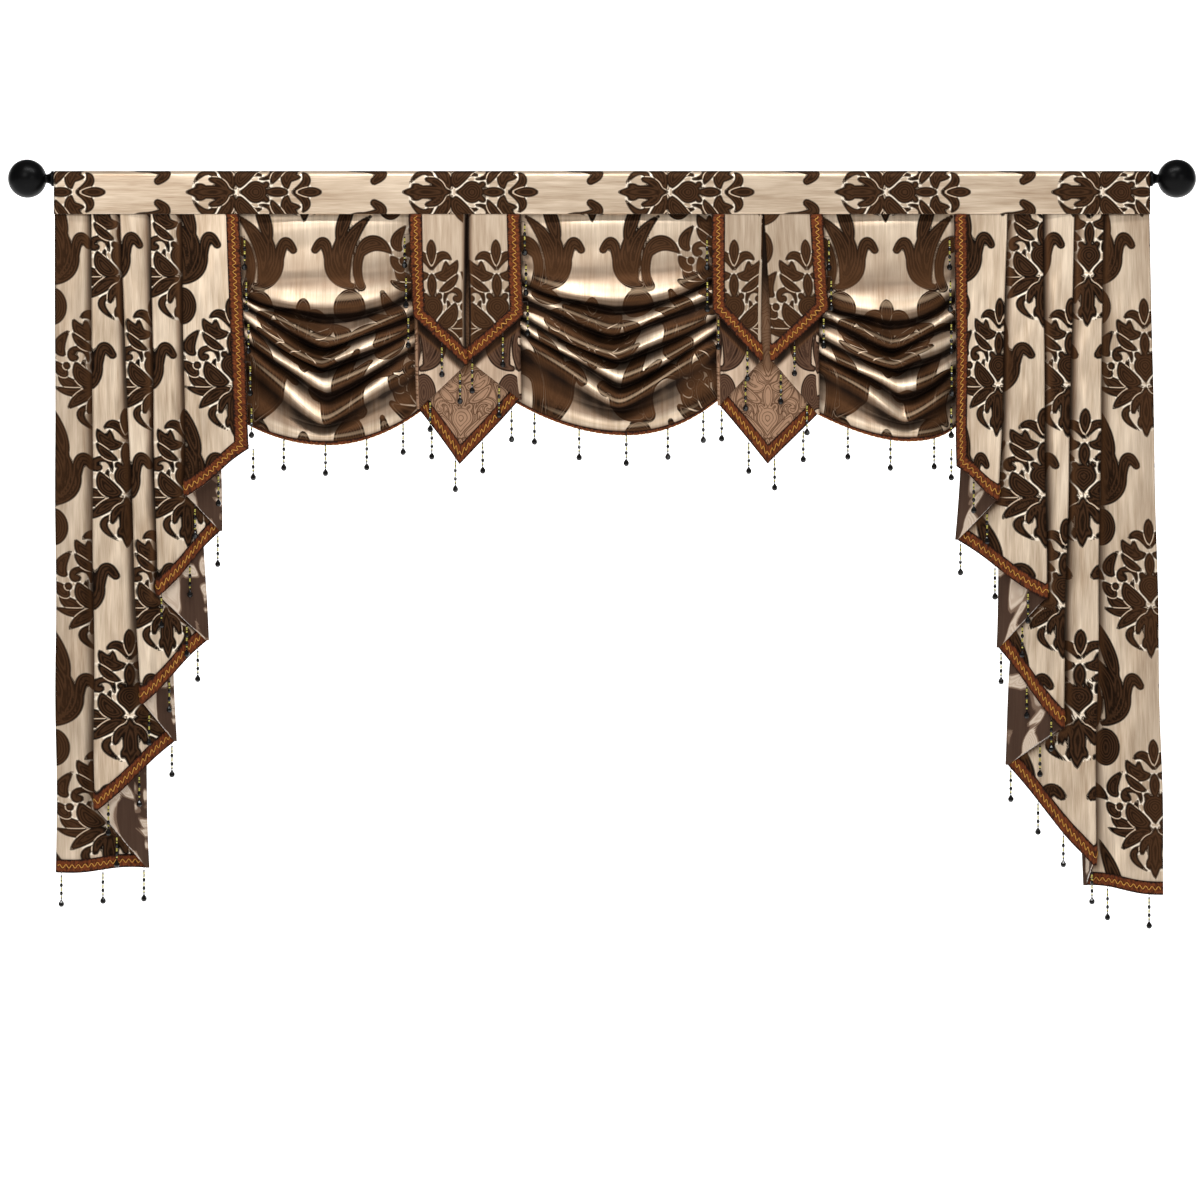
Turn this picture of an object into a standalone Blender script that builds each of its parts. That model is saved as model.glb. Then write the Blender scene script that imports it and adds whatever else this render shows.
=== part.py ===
"""Swag and tail drape on a curtain rod, at real size.

X runs along the rod, Z is up, and the face of the cloth looks along -Y.
The origin is on the rod's axis, half way along it.
"""

import math

import bmesh
import bpy
from mathutils import Vector

MM = 0.001

# Driving dimensions, in metres
VALANCE_WIDTH = 2.000
ROD_RADIUS = 0.0125
FINIAL_RADIUS = 0.035
CLOTH = 0.0014
BRAID_WIDTH = 0.024
BRAID_THICKNESS = 0.0014
GAP = 0.0003
BRAID_GAP = 0.0009
STRAND_SPACING = 0.073
STRAND_LENGTH = 0.062

# Heading: a sleeve round the rod whose front lip covers the tops of the drapes
HEADING_INSET = 0.0015
POCKET_RADIUS = ROD_RADIUS + GAP + CLOTH / 2
LIP_Z = -0.066
LIP_Y = -0.0139
TAPE_Z = -0.0620
TAPE_BACK_Y = 0.0020
POCKET_ARC_STEPS = 10

DRAPE_TOP = TAPE_Z - CLOTH / 2 - GAP
TRIM_TOP = LIP_Z - 0.0005

# Folds of the pleated sheets
ARC_STEPS = 3
PANEL_STEPS = 2
SHEET_ROWS = 7
BRAID_OFFSET = CLOTH / 2 + BRAID_GAP + BRAID_THICKNESS / 2


def lerp(a, b, t):
    return a + (b - a) * t


def smooth(t):
    t = min(max(t, 0.0), 1.0)
    return t * t * (3.0 - 2.0 * t)


def along(table, at, column):
    """Reads a column of a table by its first column, straight between the rows."""
    if at >= table[0][0]:
        return table[0][column]
    for upper, lower in zip(table, table[1:]):
        if at >= lower[0]:
            return lerp(upper[column], lower[column], (at - upper[0]) / (lower[0] - upper[0]))
    return table[-1][column]


# ------------------------------------------------------------------ scene


def clear_scene():
    for item in list(bpy.data.objects):
        bpy.data.objects.remove(item, do_unlink=True)


def new_collection(name):
    made = bpy.data.collections.new(name)
    bpy.context.scene.collection.children.link(made)
    return made


def material(name, colour, roughness, metallic=0.0):
    made = bpy.data.materials.new(name)
    made.use_nodes = True
    shader = made.node_tree.nodes["Principled BSDF"]
    shader.inputs["Base Color"].default_value = (*colour, 1.0)
    shader.inputs["Roughness"].default_value = roughness
    shader.inputs["Metallic"].default_value = metallic
    return made


def add_object(name, mesh, collection, finish=None):
    made = bpy.data.objects.new(name, mesh)
    collection.objects.link(made)
    if finish is not None:
        mesh.materials.append(finish)
    return made


def mapped_grid(name, across, down, place):
    """An open sheet of across by down cells, whose corner (i, j) is moved to place(i, j)."""
    grid = bmesh.new()
    bmesh.ops.create_grid(grid, x_segments=across, y_segments=down, size=0.5)
    for vertex in grid.verts:
        i = round((vertex.co.x + 0.5) * across)
        j = round((0.5 - vertex.co.y) * down)
        vertex.co = place(i, j)
    mesh = bpy.data.meshes.new(name)
    grid.to_mesh(mesh)
    grid.free()
    mesh.shade_smooth()
    return mesh


def thicken(sheet, thickness):
    wall = sheet.modifiers.new("Thickness", "SOLIDIFY")
    wall.thickness = thickness
    wall.offset = 0.0
    return sheet


# ------------------------------------------------------------------ rod and finials

# Turned profile of a finial: distance out from the rod's end, radius
COLLAR_RADIUS = 0.0140
NECK_RADIUS = 0.0080
COLLAR_LENGTH = 0.0045
NECK_LENGTH = 0.0100
BALL_STEPS = 9
TURN_STEPS = 18


def build_rod(collection, finish):
    bar = bmesh.new()
    bmesh.ops.create_cone(
        bar, cap_ends=True, segments=TURN_STEPS, radius1=ROD_RADIUS, radius2=ROD_RADIUS, depth=VALANCE_WIDTH
    )
    mesh = bpy.data.meshes.new("rod")
    bar.to_mesh(mesh)
    bar.free()
    rod = add_object("rod", mesh, collection, finish)
    rod.rotation_euler = (0.0, math.pi / 2, 0.0)


def finial_profile():
    neck_end = COLLAR_LENGTH + NECK_LENGTH
    joined = math.asin(NECK_RADIUS / FINIAL_RADIUS)
    centre = neck_end + FINIAL_RADIUS * math.cos(joined)
    points = [
        (0.0, 0.0),
        (0.0, COLLAR_RADIUS),
        (COLLAR_LENGTH, COLLAR_RADIUS),
        (COLLAR_LENGTH + NECK_LENGTH / 3, NECK_RADIUS),
    ]
    for step in range(BALL_STEPS + 1):
        angle = lerp(joined, math.pi, step / BALL_STEPS)
        points.append((centre - FINIAL_RADIUS * math.cos(angle), FINIAL_RADIUS * math.sin(angle)))
    return points


def build_finial(name, side, collection, finish):
    start = VALANCE_WIDTH / 2 + GAP
    turned = bmesh.new()
    outline = [turned.verts.new((side * (start + out), 0.0, radius)) for out, radius in finial_profile()]
    edges = [turned.edges.new(pair) for pair in zip(outline, outline[1:])]
    bmesh.ops.spin(
        turned,
        geom=outline + edges,
        cent=(0.0, 0.0, 0.0),
        axis=(1.0, 0.0, 0.0),
        angle=2.0 * math.pi,
        steps=TURN_STEPS,
        use_merge=True,
    )
    bmesh.ops.remove_doubles(turned, verts=turned.verts, dist=0.00001)
    bmesh.ops.recalc_face_normals(turned, faces=turned.faces)
    mesh = bpy.data.meshes.new(name)
    turned.to_mesh(mesh)
    turned.free()
    mesh.shade_smooth()
    add_object(name, mesh, collection, finish)


# ------------------------------------------------------------------ heading


def heading_profile():
    """The sleeve from its front lip, up over the rod, down the back and forward along the tape."""
    points = [(LIP_Y, LIP_Z), (lerp(LIP_Y, -POCKET_RADIUS, 0.5), LIP_Z / 2)]
    for step in range(POCKET_ARC_STEPS + 1):
        angle = math.pi * step / POCKET_ARC_STEPS
        points.append((-POCKET_RADIUS * math.cos(angle), POCKET_RADIUS * math.sin(angle)))
    points.append((lerp(POCKET_RADIUS, TAPE_BACK_Y, 0.6), TAPE_Z * 0.6))
    points.append((TAPE_BACK_Y, TAPE_Z))
    points.append((LIP_Y + CLOTH + GAP, TAPE_Z))
    return points


def build_heading(collection, finish):
    profile = heading_profile()
    half = VALANCE_WIDTH / 2 - HEADING_INSET
    spans = 2

    def place(i, j):
        y, z = profile[j]
        return Vector((lerp(-half, half, i / spans), y, z))

    mesh = mapped_grid("heading", spans, len(profile) - 1, place)
    thicken(add_object("heading", mesh, collection, finish), CLOTH)


# ------------------------------------------------------------------ pleated sheets

# Depth of a tail's folds: height, front folds, back folds, fold radius, inner edge, outer edge
TAIL_DEPTHS = [
    (DRAPE_TOP, -0.0109, -0.0018, 0.0012, -0.0121, -0.0070),
    (-0.200, -0.0150, -0.0010, 0.0022, -0.0215, -0.0080),
    (-0.550, -0.0220, 0.0050, 0.0036, -0.0240, -0.0100),
    (-0.850, -0.0270, 0.0070, 0.0038, -0.0250, -0.0120),
    (-1.300, -0.0310, 0.0070, 0.0042, -0.0250, -0.0140),
]

# Depth of a jabot's layers: height, flap, return, back panel
JABOT_DEPTHS = [
    (DRAPE_TOP, -0.0121, -0.0093, -0.0063),
    (-0.190, -0.0212, -0.0176, -0.0112),
    (-0.530, -0.0222, -0.0186, -0.0122),
]

# Fold lines of each sheet, from its inner or left edge on, in millimetres:
# kind, x at the top, x at the hem, height of the hem there, the way the fold points
TAIL_LEFT = [
    ("edge", -661, -641, -494, 0),
    ("front", -765, -757, -580, -1),
    ("back", -709, -694, -643, 1),
    ("front", -822, -809, -762, -1),
    ("back", -752, -720, -843, 1),
    ("front", -878, -839, -958, -1),
    ("back", -807, -778, -1027, 1),
    ("front", -930, -921, -1151, -1),
    ("back", -862, -827, -1258, 1),
    ("edge", -998, -994, -1265, 0),
]
TAIL_RIGHT = [
    ("edge", 641, 645, -526, 0),
    ("front", 738, 722, -588, 1),
    ("back", 681, 646, -659, -1),
    ("front", 802, 808, -768, 1),
    ("back", 745, 720, -856, -1),
    ("front", 860, 837, -1003, 1),
    ("back", 792, 736, -1070, -1),
    ("front", 913, 895, -1251, 1),
    ("back", 858, 879, -1290, -1),
    ("edge", 998, 1024, -1306, 0),
]
JABOT_LEFT = [
    ("edge", -352, -345, -254, 0),
    ("centre", -248, -248, -342, 1),
    ("outer", -347, -336, -422, -1),
    ("tip", -250, -258, -522, 0),
    ("outer", -148, -148, -404, 1),
    ("centre", -244, -241, -335, -1),
    ("edge", -150, -142, -250, 0),
]
JABOT_RIGHT = [
    ("edge", 200, 200, -242, 0),
    ("centre", 292, 289, -335, 1),
    ("outer", 205, 212, -415, -1),
    ("tip", 300, 303, -521, 0),
    ("outer", 398, 394, -431, 1),
    ("centre", 296, 310, -335, -1),
    ("edge", 402, 413, -241, 0),
]


class Station:
    """One line down a pleated sheet: a free edge, a fold or the tip of a pointed hem."""

    def __init__(self, row, place_in_depth):
        self.kind, x_top, x_low, z_hem, self.points = row
        self.x_top = x_top * MM
        self.x_low = x_low * MM
        self.z_hem = z_hem * MM
        self.place_in_depth = place_in_depth

    def x(self, z):
        return lerp(self.x_top, self.x_low, (z - DRAPE_TOP) / (self.z_hem - DRAPE_TOP))

    def depths(self, z):
        """The depth at which the sheet arrives here and the depth at which it leaves."""
        return self.place_in_depth(z)

    def corner(self, z, turn):
        """A point of the fold; turn runs from 0 where the sheet arrives to 1 where it leaves."""
        arrive, leave = self.depths(z)
        radius = abs(leave - arrive) / 2
        angle = math.pi * (turn - 0.5)
        x = self.x(z) + self.points * radius * (math.cos(angle) - 1.0)
        return Vector((x, lerp(arrive, leave, (1.0 + math.sin(angle)) / 2), z))


def tail_stations(table):
    def front(z):
        middle, radius = along(TAIL_DEPTHS, z, 1), along(TAIL_DEPTHS, z, 3)
        return middle - radius, middle + radius

    def back(z):
        middle, radius = along(TAIL_DEPTHS, z, 2), along(TAIL_DEPTHS, z, 3)
        return middle - radius, middle + radius

    def inner(z):
        return along(TAIL_DEPTHS, z, 4), along(TAIL_DEPTHS, z, 4)

    def outer(z):
        return along(TAIL_DEPTHS, z, 5), along(TAIL_DEPTHS, z, 5)

    places = {"front": front, "back": back}
    stations = [Station(row, places.get(row[0], inner)) for row in table]
    stations[-1].place_in_depth = outer
    return stations


def jabot_stations(table):
    def layer(column):
        return lambda z: along(JABOT_DEPTHS, z, column)

    flap, fold_back, rear = layer(1), layer(2), layer(3)
    arrivals = [flap, flap, fold_back, rear, rear, fold_back, flap]
    leavings = [flap, fold_back, rear, rear, fold_back, flap, flap]

    def depths(arrive, leave):
        return lambda z: (arrive(z), leave(z))

    return [Station(row, depths(a, b)) for row, a, b in zip(table, arrivals, leavings)]


class PleatedSheet:
    """A sheet hung in flat panels joined by round folds. A column is (station, turn or share)."""

    def __init__(self, stations, braid_edges):
        self.stations = stations
        self.columns = []
        last = len(stations) - 1
        for k, station in enumerate(stations):
            if station.points:
                self.columns += [(k, "fold", step / ARC_STEPS) for step in range(ARC_STEPS + 1)]
            else:
                self.columns.append((k, "fold", 0.5))
            if k == last:
                continue
            shares = [step / PANEL_STEPS for step in range(1, PANEL_STEPS)]
            inset = BRAID_WIDTH / self.panel_width(k)
            if k == 0 and "first" in braid_edges:
                shares = sorted(shares + [inset])
            if k == last - 1 and "last" in braid_edges:
                shares = sorted(shares + [1.0 - inset])
            self.columns += [(k, "panel", share) for share in shares]

    def panel_width(self, k):
        low = max(self.stations[k].z_hem, self.stations[k + 1].z_hem)
        return abs(self.stations[k].x(low) - self.stations[k + 1].x(low))

    def point(self, column, z):
        k, kind, share = self.columns[column]
        here = self.stations[k]
        if kind == "fold":
            return here.corner(z, share)
        return here.corner(z, 1.0).lerp(self.stations[k + 1].corner(z, 0.0), share)

    def hem(self, column):
        k, kind, share = self.columns[column]
        if kind == "fold":
            return self.stations[k].z_hem
        return lerp(self.stations[k].z_hem, self.stations[k + 1].z_hem, share)

    def seat(self, column, z):
        """The place on the sheet as it is built, flat between two of its rows."""
        hem = self.hem(column)
        row = (z - DRAPE_TOP) / (hem - DRAPE_TOP) * SHEET_ROWS
        upper = min(int(row), SHEET_ROWS - 1)
        ends = [self.point(column, lerp(DRAPE_TOP, hem, j / SHEET_ROWS)) for j in (upper, upper + 1)]
        return ends[0].lerp(ends[1], row - upper)

    def face(self, column, z):
        """The way the face of the cloth looks, level, at a point of the sheet."""
        before = self.seat(max(column - 1, 0), z)
        after = self.seat(min(column + 1, len(self.columns) - 1), z)
        run = after - before
        sense = 1.0 if self.stations[-1].x_top > self.stations[0].x_top else -1.0
        return sense * Vector((run.y, -run.x, 0.0)).normalized()

    def mesh(self, name):
        def place(i, j):
            return self.point(i, lerp(DRAPE_TOP, self.hem(i), j / SHEET_ROWS))

        return mapped_grid(name, len(self.columns) - 1, SHEET_ROWS, place)

    def hem_band(self, column):
        """How far up the hem's braid reaches at a column, which keeps its width on a slanting hem."""
        k, kind, share = self.columns[column]

        def rise(first):
            here, there = self.stations[first], self.stations[first + 1]
            slope = (there.z_hem - here.z_hem) / max(abs(there.x_low - here.x_low), BRAID_WIDTH)
            return BRAID_WIDTH * math.hypot(1.0, slope)

        if kind == "panel":
            return rise(k)
        if k == 0 or k == len(self.stations) - 1:
            return rise(min(k, len(self.stations) - 2))
        return lerp(rise(k - 1), rise(k), share)


# ------------------------------------------------------------------ braid and bead strands

# Profile of a bead strand: share of its length down, radius
STRAND_PROFILE = [
    (0.10, 0.0008),
    (0.58, 0.0026),
    (0.74, 0.0009),
    (0.90, 0.0045),
    (1.00, 0.0008),
]
STRAND_SIDES = 3
STRAND_ROOT_RADIUS = 0.0007
STRAND_INSET = 0.0030
SWAG_STRAND_DROP = 0.0020
STRAND_FORWARD = 0.0040
STRAND_OUTWARD = 0.0075
SHORTEST_STRAND_RUN = 0.012
STRAND_CLEAR = 0.2


def add_strand(mesh, root, hang, length):
    """A three-sided strand from root, inside the braid, and straight down from hang."""
    rings = [(root, STRAND_ROOT_RADIUS)]
    for share, radius in STRAND_PROFILE:
        rings.append((hang - Vector((0.0, 0.0, share * length)), radius))
    loops = []
    for centre, radius in rings:
        loop = []
        for side in range(STRAND_SIDES):
            angle = 2.0 * math.pi * side / STRAND_SIDES - math.pi / 2
            offset = Vector((radius * math.cos(angle), radius * math.sin(angle), 0.0))
            loop.append(mesh.verts.new(centre + offset))
        loops.append(loop)
    for upper, lower in zip(loops, loops[1:]):
        for side in range(STRAND_SIDES):
            following = (side + 1) % STRAND_SIDES
            mesh.faces.new((upper[side], lower[side], lower[following], upper[following]))
    mesh.faces.new(loops[0])
    mesh.faces.new(loops[-1][::-1])


def join_strands(name, braid, strands, cutters):
    mesh = bpy.data.meshes.new(name + "_strands")
    bmesh.ops.recalc_face_normals(strands, faces=strands.faces)
    strands.to_mesh(mesh)
    strands.free()
    tool = add_object(name + "_strands", mesh, cutters)
    tool.hide_render = True
    tool.display_type = "WIRE"
    union = braid.modifiers.new("Strands", "BOOLEAN")
    union.operation = "UNION"
    union.solver = "EXACT"
    union.object = tool


def trim_path(sheet, braid_edges):
    """Pairs of places, outer edge and inner edge of the braid, each a column and a height."""
    last = len(sheet.columns) - 1

    def up_edge(outer, inner):
        low_inner = sheet.hem(inner) + sheet.hem_band(inner)
        rows = [((outer, TRIM_TOP), (inner, TRIM_TOP))]
        for step in range(1, SHEET_ROWS):
            share = step / SHEET_ROWS
            beside = lerp(DRAPE_TOP, sheet.hem(inner), share)
            if beside > low_inner + BRAID_WIDTH / 2:
                rows.append(((outer, lerp(DRAPE_TOP, sheet.hem(outer), share)), (inner, beside)))
        rows.append(((outer, sheet.hem(outer)), (inner, low_inner)))
        return rows

    start = up_edge(0, 1) if "first" in braid_edges else []
    finish = up_edge(last, last - 1)[::-1] if "last" in braid_edges else []
    first = 2 if start else 0
    final = last - 2 if finish else last
    middle = [
        ((c, sheet.hem(c)), (c, sheet.hem(c) + sheet.hem_band(c))) for c in range(first, final + 1)
    ]
    return start + middle + finish


def build_pleated_trim(name, sheet, braid_edges, return_hang, collection, cutters, finish):
    """Braid and strands; return_hang is how far in front of the braid a return's strands hang."""
    path = trim_path(sheet, braid_edges)

    def seat(place):
        column, z = place
        return sheet.seat(column, z) + sheet.face(column, z) * BRAID_OFFSET

    def place(i, j):
        return seat(path[i][j])

    mesh = mapped_grid(name, len(path) - 1, 1, place)
    braid = thicken(add_object(name, mesh, collection, finish), BRAID_THICKNESS)

    strands = bmesh.new()
    travelled = 0.0
    wanted = STRAND_SPACING / 2
    edge_forward = Vector((0.0, -STRAND_FORWARD / 2, 0.0))
    for (outer, inner), (next_outer, next_inner) in zip(path, path[1:]):
        a, b = seat(outer), seat(next_outer)
        run = math.hypot(b.x - a.x, b.z - a.z)
        travelled += run
        if run < SHORTEST_STRAND_RUN:
            continue
        inward = (seat(inner) + seat(next_inner) - a - b).normalized()
        face = sheet.face(outer[0], outer[1])
        while wanted < travelled:
            share = min(max(1.0 - (travelled - wanted) / run, STRAND_CLEAR), 1.0 - STRAND_CLEAR)
            at = a.lerp(b, share)
            if outer[0] == next_outer[0]:
                hang = at + edge_forward + Vector((math.copysign(STRAND_OUTWARD, -inward.x), 0.0, 0.0))
            elif face.y < 0.0:
                hang = at + Vector((0.0, -STRAND_FORWARD, 0.0))
            else:
                hang = at + Vector((0.0, -return_hang, 0.0))
            add_strand(strands, at + inward * STRAND_INSET, hang, STRAND_LENGTH)
            wanted = travelled - (1.0 - share) * run + STRAND_SPACING
    join_strands(name, braid, strands, cutters)


# ------------------------------------------------------------------ swags

# Lines across each swag, in millimetres: height at its left side, in its middle and at its
# right side, the x of its middle, and how sharply it comes to a point there (0 to 1)
SWAG_LEFT = [
    (-63, -63, -63, -502, 0.0),
    (-190, -238, -190, -512, 0.1),
    (-215, -299, -237, -500, 0.4),
    (-243, -345, -267, -506, 0.7),
    (-276, -389, -294, -502, 0.8),
    (-316, -442, -340, -504, 0.8),
    (-435, -484, -418, -499, 0.0),
]
SWAG_CENTRE = [
    (-63, -63, -63, 31, 0.0),
    (-168, -226, -163, 20, 0.1),
    (-201, -276, -201, 20, 0.4),
    (-239, -330, -241, 27, 0.6),
    (-263, -373, -267, 33, 0.8),
    (-295, -411, -303, 31, 0.8),
    (-402, -466, -387, 44, 0.0),
]
SWAG_RIGHT = [
    (-63, -63, -63, 519, 0.0),
    (-200, -250, -190, 519, 0.1),
    (-235, -302, -242, 526, 0.4),
    (-276, -347, -288, 531, 0.7),
    (-307, -391, -333, 540, 0.8),
    (-338, -438, -380, 549, 0.8),
    (-418, -477, -440, 556, 0.0),
]

# Sides of each swag, in millimetres: left at the top and hem, right at the top and hem
SWAG_SIDES = {
    "swag_left": (-674, -664, -333, -328),
    "swag_centre": (-163, -162, 223, 226),
    "swag_right": (380, 378, 662, 651),
}
SWAG_COLUMNS = 12
SWAG_ROWS = [0, 0.3, 0.55, 0.78]
FOLD_ROWS = [0, 0.2, 0.4, 0.6, 0.8]
HEM_ROWS = [5.9, 6]
HEM_TURN_ROWS = 4
HEM_TURN = math.radians(150)
SWAG_SIDE_Y = -0.0015
SIDE_FOLD_DEPTH = 0.0042
MIDDLE_FOLD_DEPTH = 0.0150
SIDE_PITCH = 0.024
LEAST_MIDDLE_PITCH = 0.036
SIDE_ROLL = 0.0025
MIDDLE_ROLL = 0.0060
DROOP = 0.30
POINT_SOFTNESS = 0.10

# How far forward the middle of a swag stands: line, distance
SWAG_SWELL = [(0, 0.000), (1, 0.018), (2, 0.028), (3, 0.034), (4, 0.037), (5, 0.036), (6, 0.024)]
# How deep the folds are, of their full depth: line, share
SWAG_DEPTH_SHARE = [(0, 0.0), (0.6, 0.10), (1, 1.0), (5, 1.0), (5.5, 0.5), (6, 0.5)]


def rising(table, at):
    """Reads the second column of a table whose first column rises."""
    for lower, upper in zip(table, table[1:]):
        if at <= upper[0]:
            return lerp(lower[1], upper[1], (at - lower[0]) / (upper[0] - lower[0]))
    return table[-1][1]


class Swag:
    """Soft folds that hang between two sides. Line w counts folds down, u runs -1 to 1 across."""

    def __init__(self, name, lines):
        self.lines = lines
        self.sides = [value * MM for value in SWAG_SIDES[name]]
        self.rows = list(SWAG_ROWS)
        for fold in range(1, 6):
            self.rows += [fold + share for share in FOLD_ROWS]
        self.rows += HEM_ROWS
        self.hem_row = len(self.rows) - 1
        self.rows += [self.rows[-1] + (step + 1) / HEM_TURN_ROWS for step in range(HEM_TURN_ROWS)]

    def line(self, w, column):
        low = min(int(w), len(self.lines) - 2)
        return lerp(self.lines[low][column], self.lines[low + 1][column], w - low)

    def point(self, u, row):
        w = min(self.rows[row], 6.0)
        turned = HEM_TURN * max(self.rows[row] - 6.0, 0.0)
        left = lerp(self.sides[0], self.sides[1], w / 6.0)
        right = lerp(self.sides[2], self.sides[3], w / 6.0)
        inner = 1.0 - u * u
        body = inner * inner
        shift = self.line(w, 3) * MM - (left + right) / 2
        x = lerp(left, right, (1.0 + u) / 2) + shift * inner

        side = self.line(w, 0 if u < 0 else 2) * MM
        middle = self.line(w, 1) * MM
        soft = POINT_SOFTNESS
        pointed = (math.hypot(u, soft) - soft) / (math.hypot(1.0, soft) - soft)
        z = lerp(middle, side, lerp(u * u, pointed, self.line(w, 4)))

        depth = rising(SWAG_DEPTH_SHARE, w) * lerp(SIDE_FOLD_DEPTH, MIDDLE_FOLD_DEPTH, body)
        wave = math.cos(2.0 * math.pi * w)
        pitch = abs(self.line(min(w + 0.5, 6.0), 1) - self.line(max(w - 0.5, 0.0), 1)) * MM
        pitch = lerp(SIDE_PITCH, max(pitch, LEAST_MIDDLE_PITCH), body) if w > 0.5 else 0.0
        droop = DROOP * pitch * rising(SWAG_DEPTH_SHARE, w)
        z += droop * (1.0 - wave) / 2 * smooth((w - 0.5) * 4.0)
        y = SWAG_SIDE_Y - rising(SWAG_SWELL, w) * body - depth * wave * smooth(w * 2.0)
        roll = lerp(SIDE_ROLL, MIDDLE_ROLL, body)
        z += roll * (max(w - 5.0, 0.0) - math.sin(turned))
        y += roll * (1.0 - math.cos(turned))
        return Vector((x, y, z))

    def across(self, column):
        return math.sin(math.pi / 2 * (2.0 * column / SWAG_COLUMNS - 1.0)) * 0.35 + (
            2.0 * column / SWAG_COLUMNS - 1.0
        ) * 0.65


def build_swag(name, lines, collection, finish):
    swag = Swag(name, lines)

    def place(i, j):
        return swag.point(swag.across(i), j)

    mesh = mapped_grid(name, SWAG_COLUMNS, len(swag.rows) - 1, place)
    thicken(add_object(name, mesh, collection, finish), CLOTH)
    return swag


def build_swag_trim(name, swag, strands_at, collection, cutters, finish):
    """Braid on the face of the hem as it turns under, with strands at shares across."""
    first = swag.hem_row - 1
    last = len(swag.rows) - 1

    nudge = 0.02

    def seat(u, row):
        here = swag.point(u, row)
        beside = swag.point(min(u + nudge, 1.0), row) - swag.point(max(u - nudge, -1.0), row)
        below = swag.point(u, min(row + 1, last)) - swag.point(u, max(row - 1, 0))
        return here + beside.cross(below).normalized() * -BRAID_OFFSET

    def place(i, j):
        return seat(swag.across(i), first + j)

    mesh = mapped_grid(name, SWAG_COLUMNS, last - first, place)
    braid = thicken(add_object(name, mesh, collection, finish), BRAID_THICKNESS)
    strands = bmesh.new()
    for share in strands_at:
        lowest = seat(share, swag.hem_row)
        add_strand(strands, lowest, lowest - Vector((0.0, 0.0, SWAG_STRAND_DROP)), STRAND_LENGTH)
    join_strands(name, braid, strands, cutters)


# ------------------------------------------------------------------ the whole drape

SWAG_TABLES = {"swag_left": SWAG_LEFT, "swag_centre": SWAG_CENTRE, "swag_right": SWAG_RIGHT}
SWAG_STRANDS = {
    "swag_left": (-0.48, -0.02, 0.42, 0.80),
    "swag_centre": (-0.82, -0.43, 0.0, 0.40, 0.76),
    "swag_right": (-0.66, -0.22, 0.40),
}
PLEATED = {
    "tail_left": (tail_stations, TAIL_LEFT, ("first",), 0.0032),
    "tail_right": (tail_stations, TAIL_RIGHT, ("first",), 0.0032),
    "jabot_left": (jabot_stations, JABOT_LEFT, ("first", "last"), 0.0020),
    "jabot_right": (jabot_stations, JABOT_RIGHT, ("first", "last"), 0.0020),
}


def build():
    clear_scene()
    parts = new_collection("swag_and_tail_drape")
    cutters = new_collection("cutters")

    build_rod(parts, material("rod black", (0.012, 0.012, 0.013), 0.35, 1.0))
    for side, name in ((-1, "finial_left"), (1, "finial_right")):
        build_finial(name, side, parts, material(name + " black", (0.008, 0.008, 0.008), 0.3))
    build_heading(parts, material("heading damask", (0.52, 0.42, 0.31), 0.45))

    for name, lines in SWAG_TABLES.items():
        swag = build_swag(name, lines, parts, material(name + " damask", (0.45, 0.35, 0.25), 0.4))
        finish = material("trim_" + name + " braid", (0.12, 0.04, 0.015), 0.8)
        build_swag_trim("trim_" + name, swag, SWAG_STRANDS[name], parts, cutters, finish)

    for name, (stations, table, braid_edges, return_hang) in PLEATED.items():
        sheet = PleatedSheet(stations(table), braid_edges)
        cloth = add_object(name, sheet.mesh(name), parts, material(name + " damask", (0.5, 0.4, 0.3), 0.45))
        thicken(cloth, CLOTH)
        finish = material("trim_" + name + " braid", (0.12, 0.04, 0.015), 0.8)
        build_pleated_trim("trim_" + name, sheet, braid_edges, return_hang, parts, cutters, finish)


build()
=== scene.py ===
"""Looks of the swag and tail drape: damask satin, chenille braid with gold zigzag, and strands of beads.

The frame gives the rod, the heading, three swags, two jabots and two tails at their real places.
X runs along the rod, Z is up, and the face of the cloth looks along -Y.
"""

import math

import bmesh
import bpy
import numpy as np
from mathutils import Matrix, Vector


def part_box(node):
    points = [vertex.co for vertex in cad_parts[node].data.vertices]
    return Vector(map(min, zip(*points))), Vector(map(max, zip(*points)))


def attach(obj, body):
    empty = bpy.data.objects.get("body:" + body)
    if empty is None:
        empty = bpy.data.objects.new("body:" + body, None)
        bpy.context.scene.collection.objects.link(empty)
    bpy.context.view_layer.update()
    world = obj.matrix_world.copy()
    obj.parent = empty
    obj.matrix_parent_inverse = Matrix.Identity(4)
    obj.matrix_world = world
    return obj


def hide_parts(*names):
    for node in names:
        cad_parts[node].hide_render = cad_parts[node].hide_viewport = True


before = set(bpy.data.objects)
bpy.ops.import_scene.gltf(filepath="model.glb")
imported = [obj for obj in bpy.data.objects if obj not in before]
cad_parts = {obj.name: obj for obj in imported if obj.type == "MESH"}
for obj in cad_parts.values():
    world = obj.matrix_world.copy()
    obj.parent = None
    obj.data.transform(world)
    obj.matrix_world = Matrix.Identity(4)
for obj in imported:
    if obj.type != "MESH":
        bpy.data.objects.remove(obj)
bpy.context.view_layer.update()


# ------------------------------------------------------------------ rod
# A steel tube, 25 mm across, coated satin black. The heading's sleeve hides all of it
# but its ends, where the finials push on.

ROD_RADIUS = 0.0125
ROD_SIDES = 48
COAT_BLACK = (3, 3, 4)
COAT_WORN = (9, 9, 9)


def srgb(red, green, blue):
    """A colour of a paint card, 0 to 255, as the shader's linear colour."""
    linear = []
    for value in (red, green, blue):
        share = value / 255
        linear.append(share / 12.92 if share <= 0.04045 else ((share + 0.055) / 1.055) ** 2.4)
    return (*linear, 1.0)


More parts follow.
